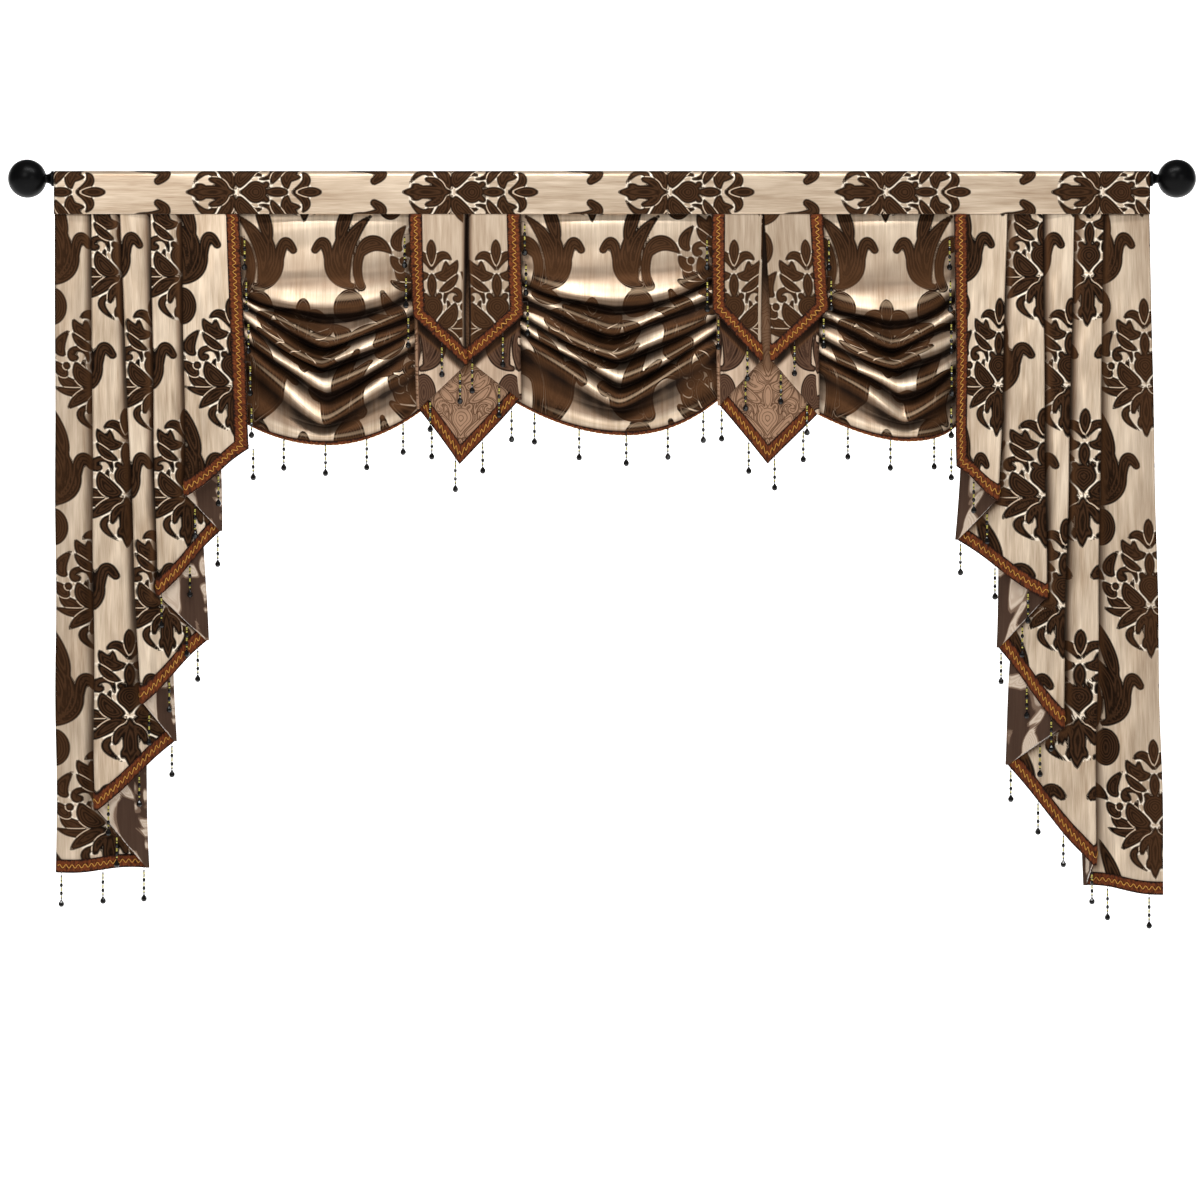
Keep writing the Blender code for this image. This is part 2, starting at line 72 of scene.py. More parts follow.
class Wire:
    """One output of a node. Sums and products on it add the Math nodes that work them out."""

    def __init__(self, board, socket):
        self.board = board
        self.socket = socket

    def maths(self, operation, first, second):
        return self.board.add("ShaderNodeMath", {"operation": operation}, {0: first, 1: second})

    def __add__(self, other):
        return self.maths("ADD", self, other)

    def __sub__(self, other):
        return self.maths("SUBTRACT", self, other)

    def __mul__(self, other):
        return self.maths("MULTIPLY", self, other)

    def __truediv__(self, other):
        return self.maths("DIVIDE", self, other)

    def __rsub__(self, other):
        return self.maths("SUBTRACT", other, self)

    def low(self, other):
        return self.maths("MINIMUM", self, other)

    def high(self, other):
        return self.maths("MAXIMUM", self, other)

    def size(self):
        return self.maths("ABSOLUTE", self, 0.0)

    def sine(self):
        return self.maths("SINE", self, 0.0)

    def within(self, edge, soft):
        """1 below the edge, 0 above it, with a soft step that wide."""
        step = (edge - self) / soft + 0.5
        return step.low(1.0).high(0.0)


class Board:
    """A node tree, with one method that makes each node, sets it and joins its sockets."""

    def __init__(self, tree):
        self.tree = tree

    def add(self, kind, settings=None, inputs=None, output=0):
        node = self.tree.nodes.new(kind)
        for name, value in (settings or {}).items():
            setattr(node, name, value)
        for key, value in (inputs or {}).items():
            if isinstance(value, Wire):
                self.tree.links.new(value.socket, node.inputs[key])
            else:
                node.inputs[key].default_value = value
        return None if output is None else Wire(self, node.outputs[output])

    def blend(self, share, first, second):
        """A mix of two colours."""
        return self.add("ShaderNodeMix", {"data_type": "RGBA"}, {0: share, 6: first, 7: second}, 2)

    def own(self, name):
        """A number that the piece carries on its own vertices."""
        return self.add("ShaderNodeAttribute", {"attribute_name": name}, None, "Fac")

    def noise(self, place, scale, detail):
        return self.add("ShaderNodeTexNoise", None, {"Vector": place, "Scale": scale, "Detail": detail})

    def stretch(self, place, along, across):
        """A place scaled by that much each way, so that a texture on it draws out."""
        return self.add("ShaderNodeMapping", None, {"Vector": place, "Scale": (along, across, 1.0)})


def finish(name, **constants):
    """A new material, its tree as a board, and its shader with the given sockets set."""
    made = bpy.data.materials.new(name)
    made.use_nodes = True
    shader = made.node_tree.nodes["Principled BSDF"]
    for socket, value in constants.items():
        shader.inputs[socket.replace("_", " ")].default_value = value
    return made, Board(made.node_tree), shader


def surface(board, shader, colour, roughness, height, strength, distance):
    """Joins the maps of a finish to its shader; height makes a bump of that strength."""
    bump = board.add("ShaderNodeBump", None, {"Strength": strength, "Distance": distance, "Height": height})
    for wire, socket in ((colour, "Base Color"), (roughness, "Roughness"), (bump, "Normal")):
        board.tree.links.new(wire.socket, shader.inputs[socket])


def satin_black(name, roughness):
    """Baked coating over metal, with the faint orange peel of a sprayed coat."""
    made, board, shader = finish(name, Specular_IOR_Level=0.08)
    place = board.add("ShaderNodeTexCoord", None, None, "Object")
    peel = board.noise(place, 900.0, 2.0)
    wear = board.noise(place, 60.0, 4.0)
    tone = board.blend(wear, srgb(*COAT_BLACK), srgb(*COAT_WORN))
    surface(board, shader, tone, wear * 0.12 + roughness, peel, 0.12, 0.0004)
    return made


def show(name, mesh, *finishes):
    """A mesh as an object in the scene, with its materials."""
    made = bpy.data.objects.new(name, mesh)
    bpy.context.scene.collection.objects.link(made)
    for each in finishes:
        mesh.materials.append(each)
    return made


def turned(name, profile, sides, along_x=False):
    """A closed form turned from (place along the axis, radius) pairs, which end on the axis."""
    places = []
    for out, radius in profile[1:-1]:
        for side in range(sides):
            angle = 2 * math.pi * side / sides
            places.append((out, radius * math.cos(angle), radius * math.sin(angle)))
    places.append((profile[0][0], 0.0, 0.0))
    places.append((profile[-1][0], 0.0, 0.0))
    faces = []
    rings = len(profile) - 2
    for side in range(sides):
        after = (side + 1) % sides
        faces.append((rings * sides, after, side))
        low = (rings - 1) * sides
        faces.append((rings * sides + 1, low + side, low + after))
        for ring in range(rings - 1):
            here = ring * sides
            there = here + sides
            faces.append((here + side, here + after, there + after, there + side))
    if not along_x:
        places = [(y, z, x) for x, y, z in places]
    mesh = bpy.data.meshes.new(name)
    mesh.from_pydata(places, [], faces)
    form = bmesh.new()
    form.from_mesh(mesh)
    bmesh.ops.recalc_face_normals(form, faces=form.faces)
    form.to_mesh(mesh)
    form.free()
    mesh.shade_smooth()
    return mesh


rod_low, rod_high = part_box("rod")
rod_half = (rod_high.x - rod_low.x) / 2
rod_edge = 0.0008
rod_profile = [
    (-rod_half, 0.0),
    (-rod_half, ROD_RADIUS - rod_edge),
    (-rod_half + rod_edge, ROD_RADIUS),
    (rod_half - rod_edge, ROD_RADIUS),
    (rod_half, ROD_RADIUS - rod_edge),
    (rod_half, 0.0),
]
rod = show("curtain_rod", turned("curtain_rod", rod_profile, ROD_SIDES, True), satin_black("rod coat", 0.34))
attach(rod, "root")
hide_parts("rod")


# ------------------------------------------------------------------ finials
# A turned ball, 70 mm across, on a short neck and collar that plugs into the rod's end.
# Each is one casting, coated the same satin black as the rod.

FINIAL_RADIUS = 0.035
COLLAR_RADIUS = 0.0140
COLLAR_LENGTH = 0.0045
NECK_RADIUS = 0.0080
NECK_LENGTH = 0.0100
BALL_STEPS = 40
FINIAL_SIDES = 72

finial_coat = satin_black("finial coat", 0.26)
neck_end = COLLAR_LENGTH + NECK_LENGTH
joined_at = math.asin(NECK_RADIUS / FINIAL_RADIUS)
ball_centre = neck_end + FINIAL_RADIUS * math.cos(joined_at)

finial_profile = [(0.0, 0.0), (0.0, COLLAR_RADIUS - 0.0006), (0.0006, COLLAR_RADIUS)]
finial_profile.append((COLLAR_LENGTH - 0.0006, COLLAR_RADIUS))
finial_profile.append((COLLAR_LENGTH, COLLAR_RADIUS - 0.0006))
for step in range(6):
    share = (step + 1) / 7
    flare = (1 - share) ** 2.2
    reach = COLLAR_LENGTH + NECK_LENGTH * share
    finial_profile.append((reach, NECK_RADIUS + (COLLAR_RADIUS - 0.0016 - NECK_RADIUS) * flare))
for step in range(BALL_STEPS):
    angle = joined_at + (math.pi - joined_at) * step / BALL_STEPS
    finial_profile.append((ball_centre - FINIAL_RADIUS * math.cos(angle), FINIAL_RADIUS * math.sin(angle)))
finial_profile.append((ball_centre + FINIAL_RADIUS, 0.0))

for side, node in ((-1, "finial_left"), (1, "finial_right")):
    low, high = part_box(node)
    foot = low.x if side > 0 else high.x
    profile = [(foot + side * out, radius) for out, radius in finial_profile]
    finial = show("ball_" + node, turned("ball_" + node, profile, FINIAL_SIDES, True), finial_coat)
    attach(finial, "root")
    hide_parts(node)


# ------------------------------------------------------------------ heading
# One strip of the damask, turned so that its flowers lie sideways, made up as a sleeve round
# the rod. Its lip covers the raw tops of the swags, jabots and tails, which are sewn to its tape.

CLOTH = 0.0014
GAP = 0.0003
HEADING_INSET = 0.0015
POCKET_RADIUS = ROD_RADIUS + GAP + CLOTH / 2
LIP_Y = -0.0139
LIP_Z = -0.0660
TAPE_Z = -0.0620
TAPE_BACK_Y = 0.0020
HEADING_CELL = 0.0042

# Repeat of the damask, in millimetres: flowers stand in columns, each dropped half a repeat
COLUMN = 241.0
REPEAT = 402.0
DESIGN_GRID = 1.5
STROKE_STEPS = 22
FULLER = 0.8
CROWDED = 9.5
QUIET_LINE = (80, 54, 38)
# Painted light on the cloth: a painted highlight for the crests of folds, then painted shade in two steps,
# bronze and near black, for folds, pleats and flaps
PAINTED_CREST_HIGHLIGHT = (232, 200, 164)
PAINTED_SHADE_BRONZE = (86, 57, 35)
PAINTED_SHADE_BLACK = (24, 16, 12)

# The flower, drawn for its right half from the crossing of its stems, in millimetres. A stroke
# of the design is its start, the point that bends it, its end, and its half widths at those.
# Strokes that lie side by side are in different layers, so that each keeps its own outline.
BUD_FLOWER = [
    ((0, 110), (0, 140), (0, 157), (1, 17, 0.5)),
    ((0, 50), (0, 76), (0, 95), (1, 17, 0.5)),
    ((0, 2), (0, 18), (0, 34), (0.5, 8, 20)),
    ((8, 48), (16, 60), (15, 52), (4, 5, 4)),
    ((0, -7), (0, -52), (0, -97), (3, 22, 1)),
    ((5, -20), (20, -28), (23, -50), (5, 10, 4)),
    ((3, -62), (11, -64), (12, -76), (7, 7, 3)),
    ((67, 56), (84, 68), (57, 97), (5, 17, 2)),
    ((61, 35), (61, 34), (61, 33), (6, 7, 6)),
]
LEAF_FLOWER = [
    ((2, 103), (16, 142), (36, 121), (2, 14, 2)),
    ((14, 63), (36, 70), (50, 94), (1, 15, 1)),
    ((9, 4), (36, 2), (45, 40), (2, 27, 2)),
    ((5, -8), (34, -16), (58, -43), (2, 20, 2)),
    ((62, 16), (70, 24), (83, 42), (2, 18, 1)),
]
CURL_FLOWER = [
    ((9, 92), (36, 84), (48, 118), (4, 20, 2)),
    ((24, 96), (28, 106), (27, 116), (6, 8, 2)),
    ((24, 42), (24, 65), (40, 65), (2, 5, 5)),
    ((40, 65), (55, 64), (54, 52), (5, 6, 5)),
    ((54, 52), (52, 44), (46, 49), (5, 5, 6)),
    ((6, -4), (46, -25), (82, -4), (2, 15, 1)),
    ((15, -36), (62, -50), (13, -84), (1, 12, 1)),
]
SIDE_FLOWER = [
    ((36, -1), (60, -5), (75, 19), (2, 19, 1)),
    ((30, 28), (35, 36), (30, 44), (2, 5, 2)),
]

# The paired leaves that stand under each flower, from the foot of the leaf; the hook of each
# looks towards the other one, and a round fruit hangs from its foot
LEAF_FOOT = (90, -218)
HOOK_LEAF = [
    ((-2, 2), (-44, 10), (-45, 52), (5, 12, 8)),
    ((-45, 50), (-50, 106), (-70, 70), (8, 12, 7)),
]
BROAD_LEAF = [
    ((-8, 8), (-34, 76), (30, 132), (3, 24, 3)),
    ((-6, -26), (-6, -44), (-6, -60), (18, 32, 15)),
]
CURVED_LEAF = [
    ((14, 2), (1, 36), (13, 66), (7, 9, 9)),
    ((12, 64), (35, 102), (70, 63), (9, 24, 1)),
]
TALL_LEAF = [
    ((-6, 2), (-40, 50), (-26, 90), (4, 13, 6)),
    ((-26, 88), (-20, 124), (8, 192), (6, 21, 1)),
]

DESIGN = {
    "buds": (BUD_FLOWER, []),
    "leaves": (LEAF_FLOWER, []),
    "curls": (CURL_FLOWER, []),
    "sides": (SIDE_FLOWER, HOOK_LEAF + BROAD_LEAF + CURVED_LEAF + TALL_LEAF),
}


def lerp(a, b, t):
    return a + (b - a) * t


def smooth(t):
    t = np.clip(t, 0.0, 1.0)
    return t * t * (3.0 - 2.0 * t)


def bent(first, control, last, t):
    """A curve from first to last, pulled towards the control."""
    return first * (1 - t) ** 2 + 2 * control * t * (1 - t) + last * t ** 2


def design_field(flower, foot):
    """Signed distance to the nearest stroke, in millimetres, over half a column and one repeat."""
    down, across = np.mgrid[0.0:REPEAT:DESIGN_GRID, 0.0:COLUMN + DESIGN_GRID:DESIGN_GRID]
    nearest = np.full(across.shape, 99.0)
    strokes = [(stroke, (0, 0)) for stroke in flower] + [(stroke, LEAF_FOOT) for stroke in foot]
    for (start, bend, end, widths), (foot_x, foot_y) in strokes:
        for step in range(STROKE_STEPS + 1):
            t = step / STROKE_STEPS
            x = bent(start[0], bend[0], end[0], t) + foot_x
            y = bent(start[1], bend[1], end[1], t) + foot_y
            width = bent(*widths, t) + FULLER
            for place_x, drop in ((x, 0.0), (-x, 0.0), (COLUMN - x, REPEAT / 2), (COLUMN + x, REPEAT / 2)):
                rise = (down - y - drop + REPEAT / 2) % REPEAT - REPEAT / 2
                nearest = np.minimum(nearest, np.hypot(across - place_x, rise) - width)
    return nearest


FIELDS = {name: design_field(*strokes) for name, strokes in DESIGN.items()}


def read_field(field, across, up):
    """The field at places of the endless cloth, in millimetres from a flower's crossing."""
    x = np.abs((across + COLUMN) % (2 * COLUMN) - COLUMN) / DESIGN_GRID
    y = (up % REPEAT) / DESIGN_GRID
    i = np.minimum(x.astype(int), field.shape[1] - 2)
    j = y.astype(int) % field.shape[0]
    above = (j + 1) % field.shape[0]
    s = x - i
    t = y - np.floor(y)
    low = field[j, i] * (1 - s) + field[j, i + 1] * s
    high = field[above, i] * (1 - s) + field[above, i + 1] * s
    return low * (1 - t) + high * t


def quad_starts(rows, columns):
    """The first corner of every quad in a grid of vertices that is laid row by row."""
    return (np.arange(rows - 1)[:, None] * columns + np.arange(columns - 1)[None, :]).ravel()


def cloth_mesh(name, points, across, up, tone, shade, faces_back=False):
    """A woven sheet from rows of points, with the design at across and up on its vertices.

    tone runs from the full colouring at 0 to the quiet one at 1, and the figure grows with it; on the swags'
    folds and a jabot's back panel this is painted shade.
    shade is painted shade up to 1, and below 0 a painted highlight on the crest of a fold.
    """
    rows, columns = points.shape[:2]
    mesh = bpy.data.meshes.new(name)
    corner = quad_starts(rows, columns)
    loop = [corner, corner + columns, corner + columns + 1, corner + 1]
    quads = np.stack(loop[::-1] if faces_back else loop, axis=1)
    mesh.from_pydata(points.reshape(-1, 3).tolist(), [], quads.tolist())
    layers = {field_name: read_field(field, across, up) for field_name, field in FIELDS.items()}
    layers["tone"] = tone
    layers["shade"] = shade
    for layer_name, layer in layers.items():
        carried = mesh.attributes.new(layer_name, "FLOAT", "POINT")
        carried.data.foreach_set("value", np.broadcast_to(layer, across.shape).ravel())
    weave = mesh.uv_layers.new(name="weave")
    flat = np.stack([across.ravel(), up.ravel()], axis=1) / 1000.0
    weave.data.foreach_set("uv", flat[quads.ravel()].ravel())
    mesh.shade_smooth()
    return mesh


def plain_mesh(piece):
    """Works a piece's modifiers into its mesh and removes them."""
    graph = bpy.context.evaluated_depsgraph_get()
    made = bpy.data.meshes.new_from_object(piece.evaluated_get(graph))
    piece.modifiers.clear()
    piece.data = made
    return piece


def sheet(name, mesh, *finishes):
    """A sheet of cloth with its thickness, the first finish on its face and the second behind."""
    made = show(name, mesh, *finishes)
    wall = made.modifiers.new("Thickness", "SOLIDIFY")
    wall.thickness = CLOTH
    wall.offset = 0.0
    wall.material_offset = 1
    wall.material_offset_rim = 1
    return plain_mesh(made)


def damask(name, ground, ground_light, motif, motif_line, rim, seam, outline, quiet, roughness):
    """Satin ground with a raised figure, whose outlines and engraved lines are woven in. Painted shade,
    painted highlight and painted satin sheen are blended into its colour.
    """
    made, board, shader = finish(name, Metallic=0.5, Specular_IOR_Level=0.04)
    first, second, third, fourth = [board.own(layer) for layer in FIELDS]
    nearest = first.low(second).low(third.low(fourth))
    runner_up = first.low(second).high(third.low(fourth)).low(first.high(second).low(third.high(fourth)))
    two = first.low(second)
    line = first.size().low(second.size().high(0.0 - first)).low(third.size().high(0.0 - two))
    line = line.low(fourth.size().high(0.0 - two.low(third)))
    tone = board.own("tone")
    # The figure grows with tone; on the swags' folds and a jabot's back panel this darkens them as part of
    # their painted shade
    full = nearest - tone * CROWDED
    figure = full.within(0.0, 1.0)
    core = full.within(-2.3, 1.0)
    between = (1.0 - figure) * (nearest.high(0.0) + runner_up).within(4.2, 1.2)
    inner_line = line.within(0.9, 0.8) * nearest.within(-0.9, 0.8)

    woven = board.add("ShaderNodeUVMap", {"uv_map": "weave"})
    drift = board.noise(woven, 46.0, 1.0)
    engraved = (nearest * 1.5 + drift * 4.0).sine() * 0.5 + 0.5
    streak = board.noise(board.stretch(woven, 900.0, 24.0), 1.0, 3.0)
    band = board.noise(board.stretch(woven, 130.0, 8.0), 1.0, 3.0)
    picks = board.noise(board.stretch(woven, 300.0, 1500.0), 1.0, 2.0)
    patch = board.noise(board.stretch(woven, 22.0, 5.0), 1.0, 2.0)

    # The ground runs between its colour and a lighter one along the weave's streaks and in broader bands and
    # patches; the bands and patches are painted satin sheen
    streaks_and_sheen = (streak * 0.3 + band * 0.3 + patch * 0.4 - 0.36) * 3.4
    satin = board.blend(streaks_and_sheen.low(1.0).high(0.0), srgb(*ground), srgb(*ground_light))
    thread = board.blend(engraved * 0.75 + streak * 0.25, srgb(*motif), srgb(*motif_line))
    worked = board.blend(core, srgb(*rim), thread)
    worked = board.blend(inner_line * 0.85, worked, srgb(*seam))
    colour = board.blend(between, satin, srgb(*outline))
    colour = board.blend(figure, colour, worked)
    # The quiet colouring that tone blends in. On the face of the swags' folds and a jabot's back panel it is
    # a darker, painted shade; on a tail's return it marks the pale edge of the hem.
    scroll = line.within(0.9, 1.0).high((nearest * 1.1 + drift * 5.0).sine().within(-0.72, 0.3) * 0.8)
    plain = board.blend(scroll * 0.85 + patch * 0.15, srgb(*quiet), srgb(*QUIET_LINE))
    colour = board.blend((tone * 1.7 - 0.7).high(0.0), colour, plain)
    # Painted shade from the piece's own shade value, varied by the satin patches; below 0 it paints a
    # highlight on a crest instead
    painted_shade_and_highlight = board.own("shade") * (patch * 0.7 + 0.68)
    colour = board.blend((0.0 - painted_shade_and_highlight).high(0.0), colour, srgb(*PAINTED_CREST_HIGHLIGHT))
    colour = board.blend((painted_shade_and_highlight * 1.6).low(1.0) * 0.74, colour, srgb(*PAINTED_SHADE_BRONZE))
    colour = board.blend((painted_shade_and_highlight * 2.4 - 1.4).low(0.94).high(0.0), colour, srgb(*PAINTED_SHADE_BLACK))

    relief = figure * 0.5 + engraved * figure * 0.18 + streak * 0.22 + picks * 0.14
    surface(board, shader, colour, figure * 0.16 + roughness + band * 0.08, relief, 0.35, 0.0008)
    return made


face_damask = damask(
    "damask face",
    ground=(166, 142, 117),
    ground_light=(232, 213, 189),
    motif=(18, 9, 4),
    motif_line=(66, 44, 28),
    rim=(12, 7, 5),
    seam=(214, 190, 164),
    outline=(240, 226, 206),
    quiet=(164, 130, 104),
    roughness=0.34,
)
lining_damask = damask(
    "damask lining",
    ground=(164, 138, 115),
    ground_light=(214, 190, 166),
    motif=(58, 40, 30),
    motif_line=(96, 70, 54),
    rim=(34, 22, 16),
    seam=(120, 94, 74),
    outline=(206, 184, 162),
    quiet=(164, 130, 104),
    roughness=0.45,
)
reverse_damask = damask(
    "damask reverse",
    ground=(62, 45, 36),
    ground_light=(78, 59, 48),
    motif=(176, 156, 138),
    motif_line=(202, 186, 168),
    rim=(120, 98, 82),
    seam=(120, 98, 82),
    outline=(88, 70, 58),
    quiet=(206, 198, 190),
    roughness=0.5,
)

heading_profile = [(LIP_Y, LIP_Z), (LIP_Y, LIP_Z / 2)]
for step in range(13):
    angle = math.pi * step / 12
    heading_profile.append((-POCKET_RADIUS * math.cos(angle), POCKET_RADIUS * math.sin(angle)))
heading_profile.append((lerp(POCKET_RADIUS, TAPE_BACK_Y, 0.6), TAPE_Z * 0.6))
heading_profile.append((TAPE_BACK_Y, TAPE_Z))
heading_profile.append((LIP_Y + CLOTH + GAP, TAPE_Z))


def resample(path, step):
    """Points along a path at about that spacing, and how far along it each one is."""
    path = np.array(path)
    lengths = np.concatenate([[0.0], np.cumsum(np.linalg.norm(np.diff(path, axis=0), axis=1))])
    count = max(int(round(lengths[-1] / step)), 2)
    travel = np.linspace(0.0, lengths[-1], count + 1)
    return np.stack([np.interp(travel, lengths, path[:, k]) for k in range(path.shape[1])], axis=1), travel


heading_section, heading_travel = resample(heading_profile, HEADING_CELL)
heading_half = (rod_high.x - rod_low.x) / 2 - HEADING_INSET
heading_x = np.linspace(-heading_half, heading_half, int(2 * heading_half / HEADING_CELL) + 1)
heading_rows = len(heading_section)
heading_points = np.zeros((heading_rows, len(heading_x), 3))
heading_points[:, :, 0] = heading_x[None, :]
heading_points[:, :, 1] = heading_section[:, 0][:, None]
heading_points[:, :, 2] = heading_section[:, 1][:, None]

HEADING_FLOWER_X = -0.270
HEADING_FLOWER_Z = -0.026
HEADING_REPEAT = 394.0
heading_up = (heading_points[:, :, 0] - HEADING_FLOWER_X) * 1000.0 * REPEAT / HEADING_REPEAT
heading_across = np.broadcast_to(
    (heading_travel - (HEADING_FLOWER_Z - LIP_Z))[:, None] * 1000.0, heading_up.shape
)
# The heading carries a light, even painted shade (0.10 of the shade value)
heading_mesh = cloth_mesh("heading_sleeve", heading_points, heading_across, heading_up, 0.0, 0.10, True)
heading = sheet("heading_sleeve", heading_mesh, face_damask, reverse_damask)
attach(heading, "root")
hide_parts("heading")


# ------------------------------------------------------------------ swags
# Three panels cut on the cross and gathered at both sides, so that five folds hang between the
# jabots. The hem rolls under, and the braid sewn to it only shows as a thin line.

MM = 0.001
DRAPE_TOP = TAPE_Z - CLOTH / 2 - GAP
SWAG_COLUMNS = 104
SWAG_TOP_ROWS = 44
SWAG_FOLD_ROWS = 18
HEM_TURN_ROWS = 9
HEM_TURN = math.radians(150)
SWAG_SIDE_Y = -0.0015
SIDE_FOLD_DEPTH = 0.0042
MIDDLE_FOLD_DEPTH = 0.0150
DROOP = 0.30
POINT_SOFTNESS = 0.06
WANDER = 0.0045
SLACK = 0.0021
CREST_ROUND = 0.6
# Painted shade and painted highlight on the swags: how dark the folds, upper part and sides are painted, the
# highlight above each crest, and where each starts and fades
BRONZE_SHADE = 0.73
CREST_LIGHT_ABOVE = 0.12
CREST_LIGHT = 0.27
UPPER_SHADE = 0.56
SIDE_SHADE = 0.62
FOLD_SHADE_TONE = 0.42
BRONZE_REACH = 0.20
BLACK_START = 0.24
BLACK_REACH = 0.12
CREST_LIGHT_REACH = 0.16
FOLDS_START = 0.72
FOLDS_REACH = 0.2
HEM_LIGHT = 0.48
HEM_LIGHT_START = 5.1
HEM_LIGHT_REACH = 0.4

# Lines across each swag, in millimetres: height at its left side, in its middle and at its
# right side, the x of its middle, and how sharply it comes to a point there (0 to 1)
SWAG_LINES = {
    "swag_left": [
        (-63, -63, -63, -502, 0.0),
        (-190, -238, -190, -512, 0.2),
        (-215, -299, -237, -500, 0.6),
        (-243, -345, -267, -506, 0.9),
        (-276, -389, -294, -502, 1.0),
        (-316, -442, -340, -504, 0.9),
        (-435, -484, -418, -499, 0.0),
    ],
    "swag_centre": [
        (-63, -63, -63, 31, 0.0),
        (-168, -226, -163, 20, 0.2),
        (-201, -276, -201, 20, 0.6),
        (-239, -330, -241, 27, 0.9),
        (-263, -373, -267, 33, 1.0),
        (-295, -411, -303, 31, 0.9),
        (-402, -466, -387, 44, 0.0),
    ],
    "swag_right": [
        (-63, -63, -63, 519, 0.0),
        (-200, -250, -190, 519, 0.2),
        (-235, -302, -242, 526, 0.6),
        (-276, -347, -288, 531, 0.9),
        (-307, -391, -333, 540, 1.0),
        (-338, -438, -380, 549, 0.9),
        (-418, -477, -440, 556, 0.0),
    ],
}
# Sides of each swag, in millimetres: left at the top and hem, right at the top and hem
SWAG_SIDES = {
    "swag_left": (-674, -664, -333, -328),
    "swag_centre": (-163, -162, 223, 226),
    "swag_right": (380, 378, 662, 651),
}
# Where the design's mirror line falls on each swag, in millimetres along the rod
SWAG_AXES = {"swag_left": -543, "swag_centre": -18, "swag_right": 517}
SWAG_FLOWER_UP = 79.0

# How far forward the middle of a swag stands, and how deep its folds are: line, value
SWAG_SWELL = [(0, 0.000), (1, 0.018), (2, 0.028), (3, 0.034), (4, 0.037), (5, 0.036), (6, 0.024)]
SWAG_DEPTH_SHARE = [(0, 0.0), (0.6, 0.10), (1, 1.0), (5, 1.0), (5.5, 0.8), (6, 0.5)]


def eased(table, at, column):
    """Reads a column of a table by its first column, on a smooth curve through the rows."""
    rows = np.array(table, dtype=float)
    knots = rows[:, 0]
    values = rows[:, column]
    if knots[0] > knots[-1]:
        knots = knots[::-1]
        values = values[::-1]
    slopes = np.gradient(values, knots)
    at = np.clip(at, knots[0], knots[-1])
    k = np.clip(np.searchsorted(knots, at, side="right") - 1, 0, len(knots) - 2)
    span = knots[k + 1] - knots[k]
    t = (at - knots[k]) / span
    ease_in = (1 + 2 * t) * (1 - t) ** 2
    ease_out = t ** 2 * (3 - 2 * t)
    tangents = slopes[k] * t * (1 - t) ** 2 - slopes[k + 1] * t ** 2 * (1 - t)
    return values[k] * ease_in + values[k + 1] * ease_out + span * tangents


def straight(table, at, column):
    """Reads a column of a table by its first column, straight between the rows."""
    rows = np.array(table, dtype=float)
    if rows[0, 0] > rows[-1, 0]:
        rows = rows[::-1]
    return np.interp(at, rows[:, 0], rows[:, column])


def fold_wave(w):
    """Round on the crest of a fold, at whole numbers, and tight in the valley between two."""
    return lerp(np.cos(2.0 * math.pi * w), 2.0 * np.abs(np.cos(math.pi * w)) - 1.0, CREST_ROUND)


class Swag:
    """Soft folds that hang between two sides. Line w counts folds down, u runs -1 to 1 across."""

    def __init__(self, name):
        self.lines = [(w, *row) for w, row in enumerate(SWAG_LINES[name])]
        self.sides = [value * MM for value in SWAG_SIDES[name]]

    def point(self, u, w):
        """Places on the cloth; w past 6 runs round the turn of the hem."""
        turned_by = HEM_TURN * np.maximum(w - 6.0, 0.0)
        w = np.minimum(w, 6.0)
        left = lerp(self.sides[0], self.sides[1], w / 6.0)
        right = lerp(self.sides[2], self.sides[3], w / 6.0)
        inner = 1.0 - u * u
        body = inner * inner
        shift = eased(self.lines, w, 4) * MM - (left + right) / 2
        x = lerp(left, right, (1.0 + u) / 2) + shift * inner

        side = np.where(u < 0, eased(self.lines, w, 1), eased(self.lines, w, 3)) * MM
        middle = eased(self.lines, w, 2) * MM
        soft = POINT_SOFTNESS
        pointed = (np.hypot(u, soft) - soft) / (math.hypot(1.0, soft) - soft)
        z = lerp(middle, side, lerp(u * u, pointed, straight(self.lines, w, 5)))

        share = straight(SWAG_DEPTH_SHARE, w, 1)
        depth = share * lerp(SIDE_FOLD_DEPTH, MIDDLE_FOLD_DEPTH, body)
        wave = fold_wave(w)
        loose = smooth(w - 0.3) * smooth(6.0 - w) * inner
        depth = depth * (1.0 + 0.28 * np.sin(5.3 * u - 1.7 * w) * loose)
        z = z + WANDER * np.sin(4.6 * u + 2.2 * w) * loose
        slack = smooth(w / 0.15) * smooth((0.92 - w) / 0.25) * (1.0 - u ** 4)
        above = eased(self.lines, np.maximum(w - 0.5, 0.0), 2)
        below = eased(self.lines, np.minimum(w + 0.5, 6.0), 2)
        pitch = np.where(w > 0.5, lerp(0.024, np.maximum(np.abs(below - above) * MM, 0.036), body), 0.0)
        z = z + DROOP * pitch * share * (1.0 - wave) / 2 * smooth((w - 0.5) * 4.0)
        y = SWAG_SIDE_Y - eased(SWAG_SWELL, w, 1) * body - depth * wave * smooth(w * 2.0)
        y = y - SLACK * (1.0 + np.sin(15.0 * w + 1.6 * u - 2.2 * u * u)) * slack
        roll = lerp(0.0025, 0.0060, body)
        z = z + roll * (np.maximum(w - 5.0, 0.0) - np.sin(turned_by))
        y = y + roll * (1.0 - np.cos(turned_by))
        return np.stack(np.broadcast_arrays(x, y, z), axis=-1)


def across_swag(count):
    """Shares from side to side, closer together near the sides."""
    share = np.linspace(-1.0, 1.0, count)
    return np.sin(math.pi / 2 * share) * 0.35 + share * 0.65


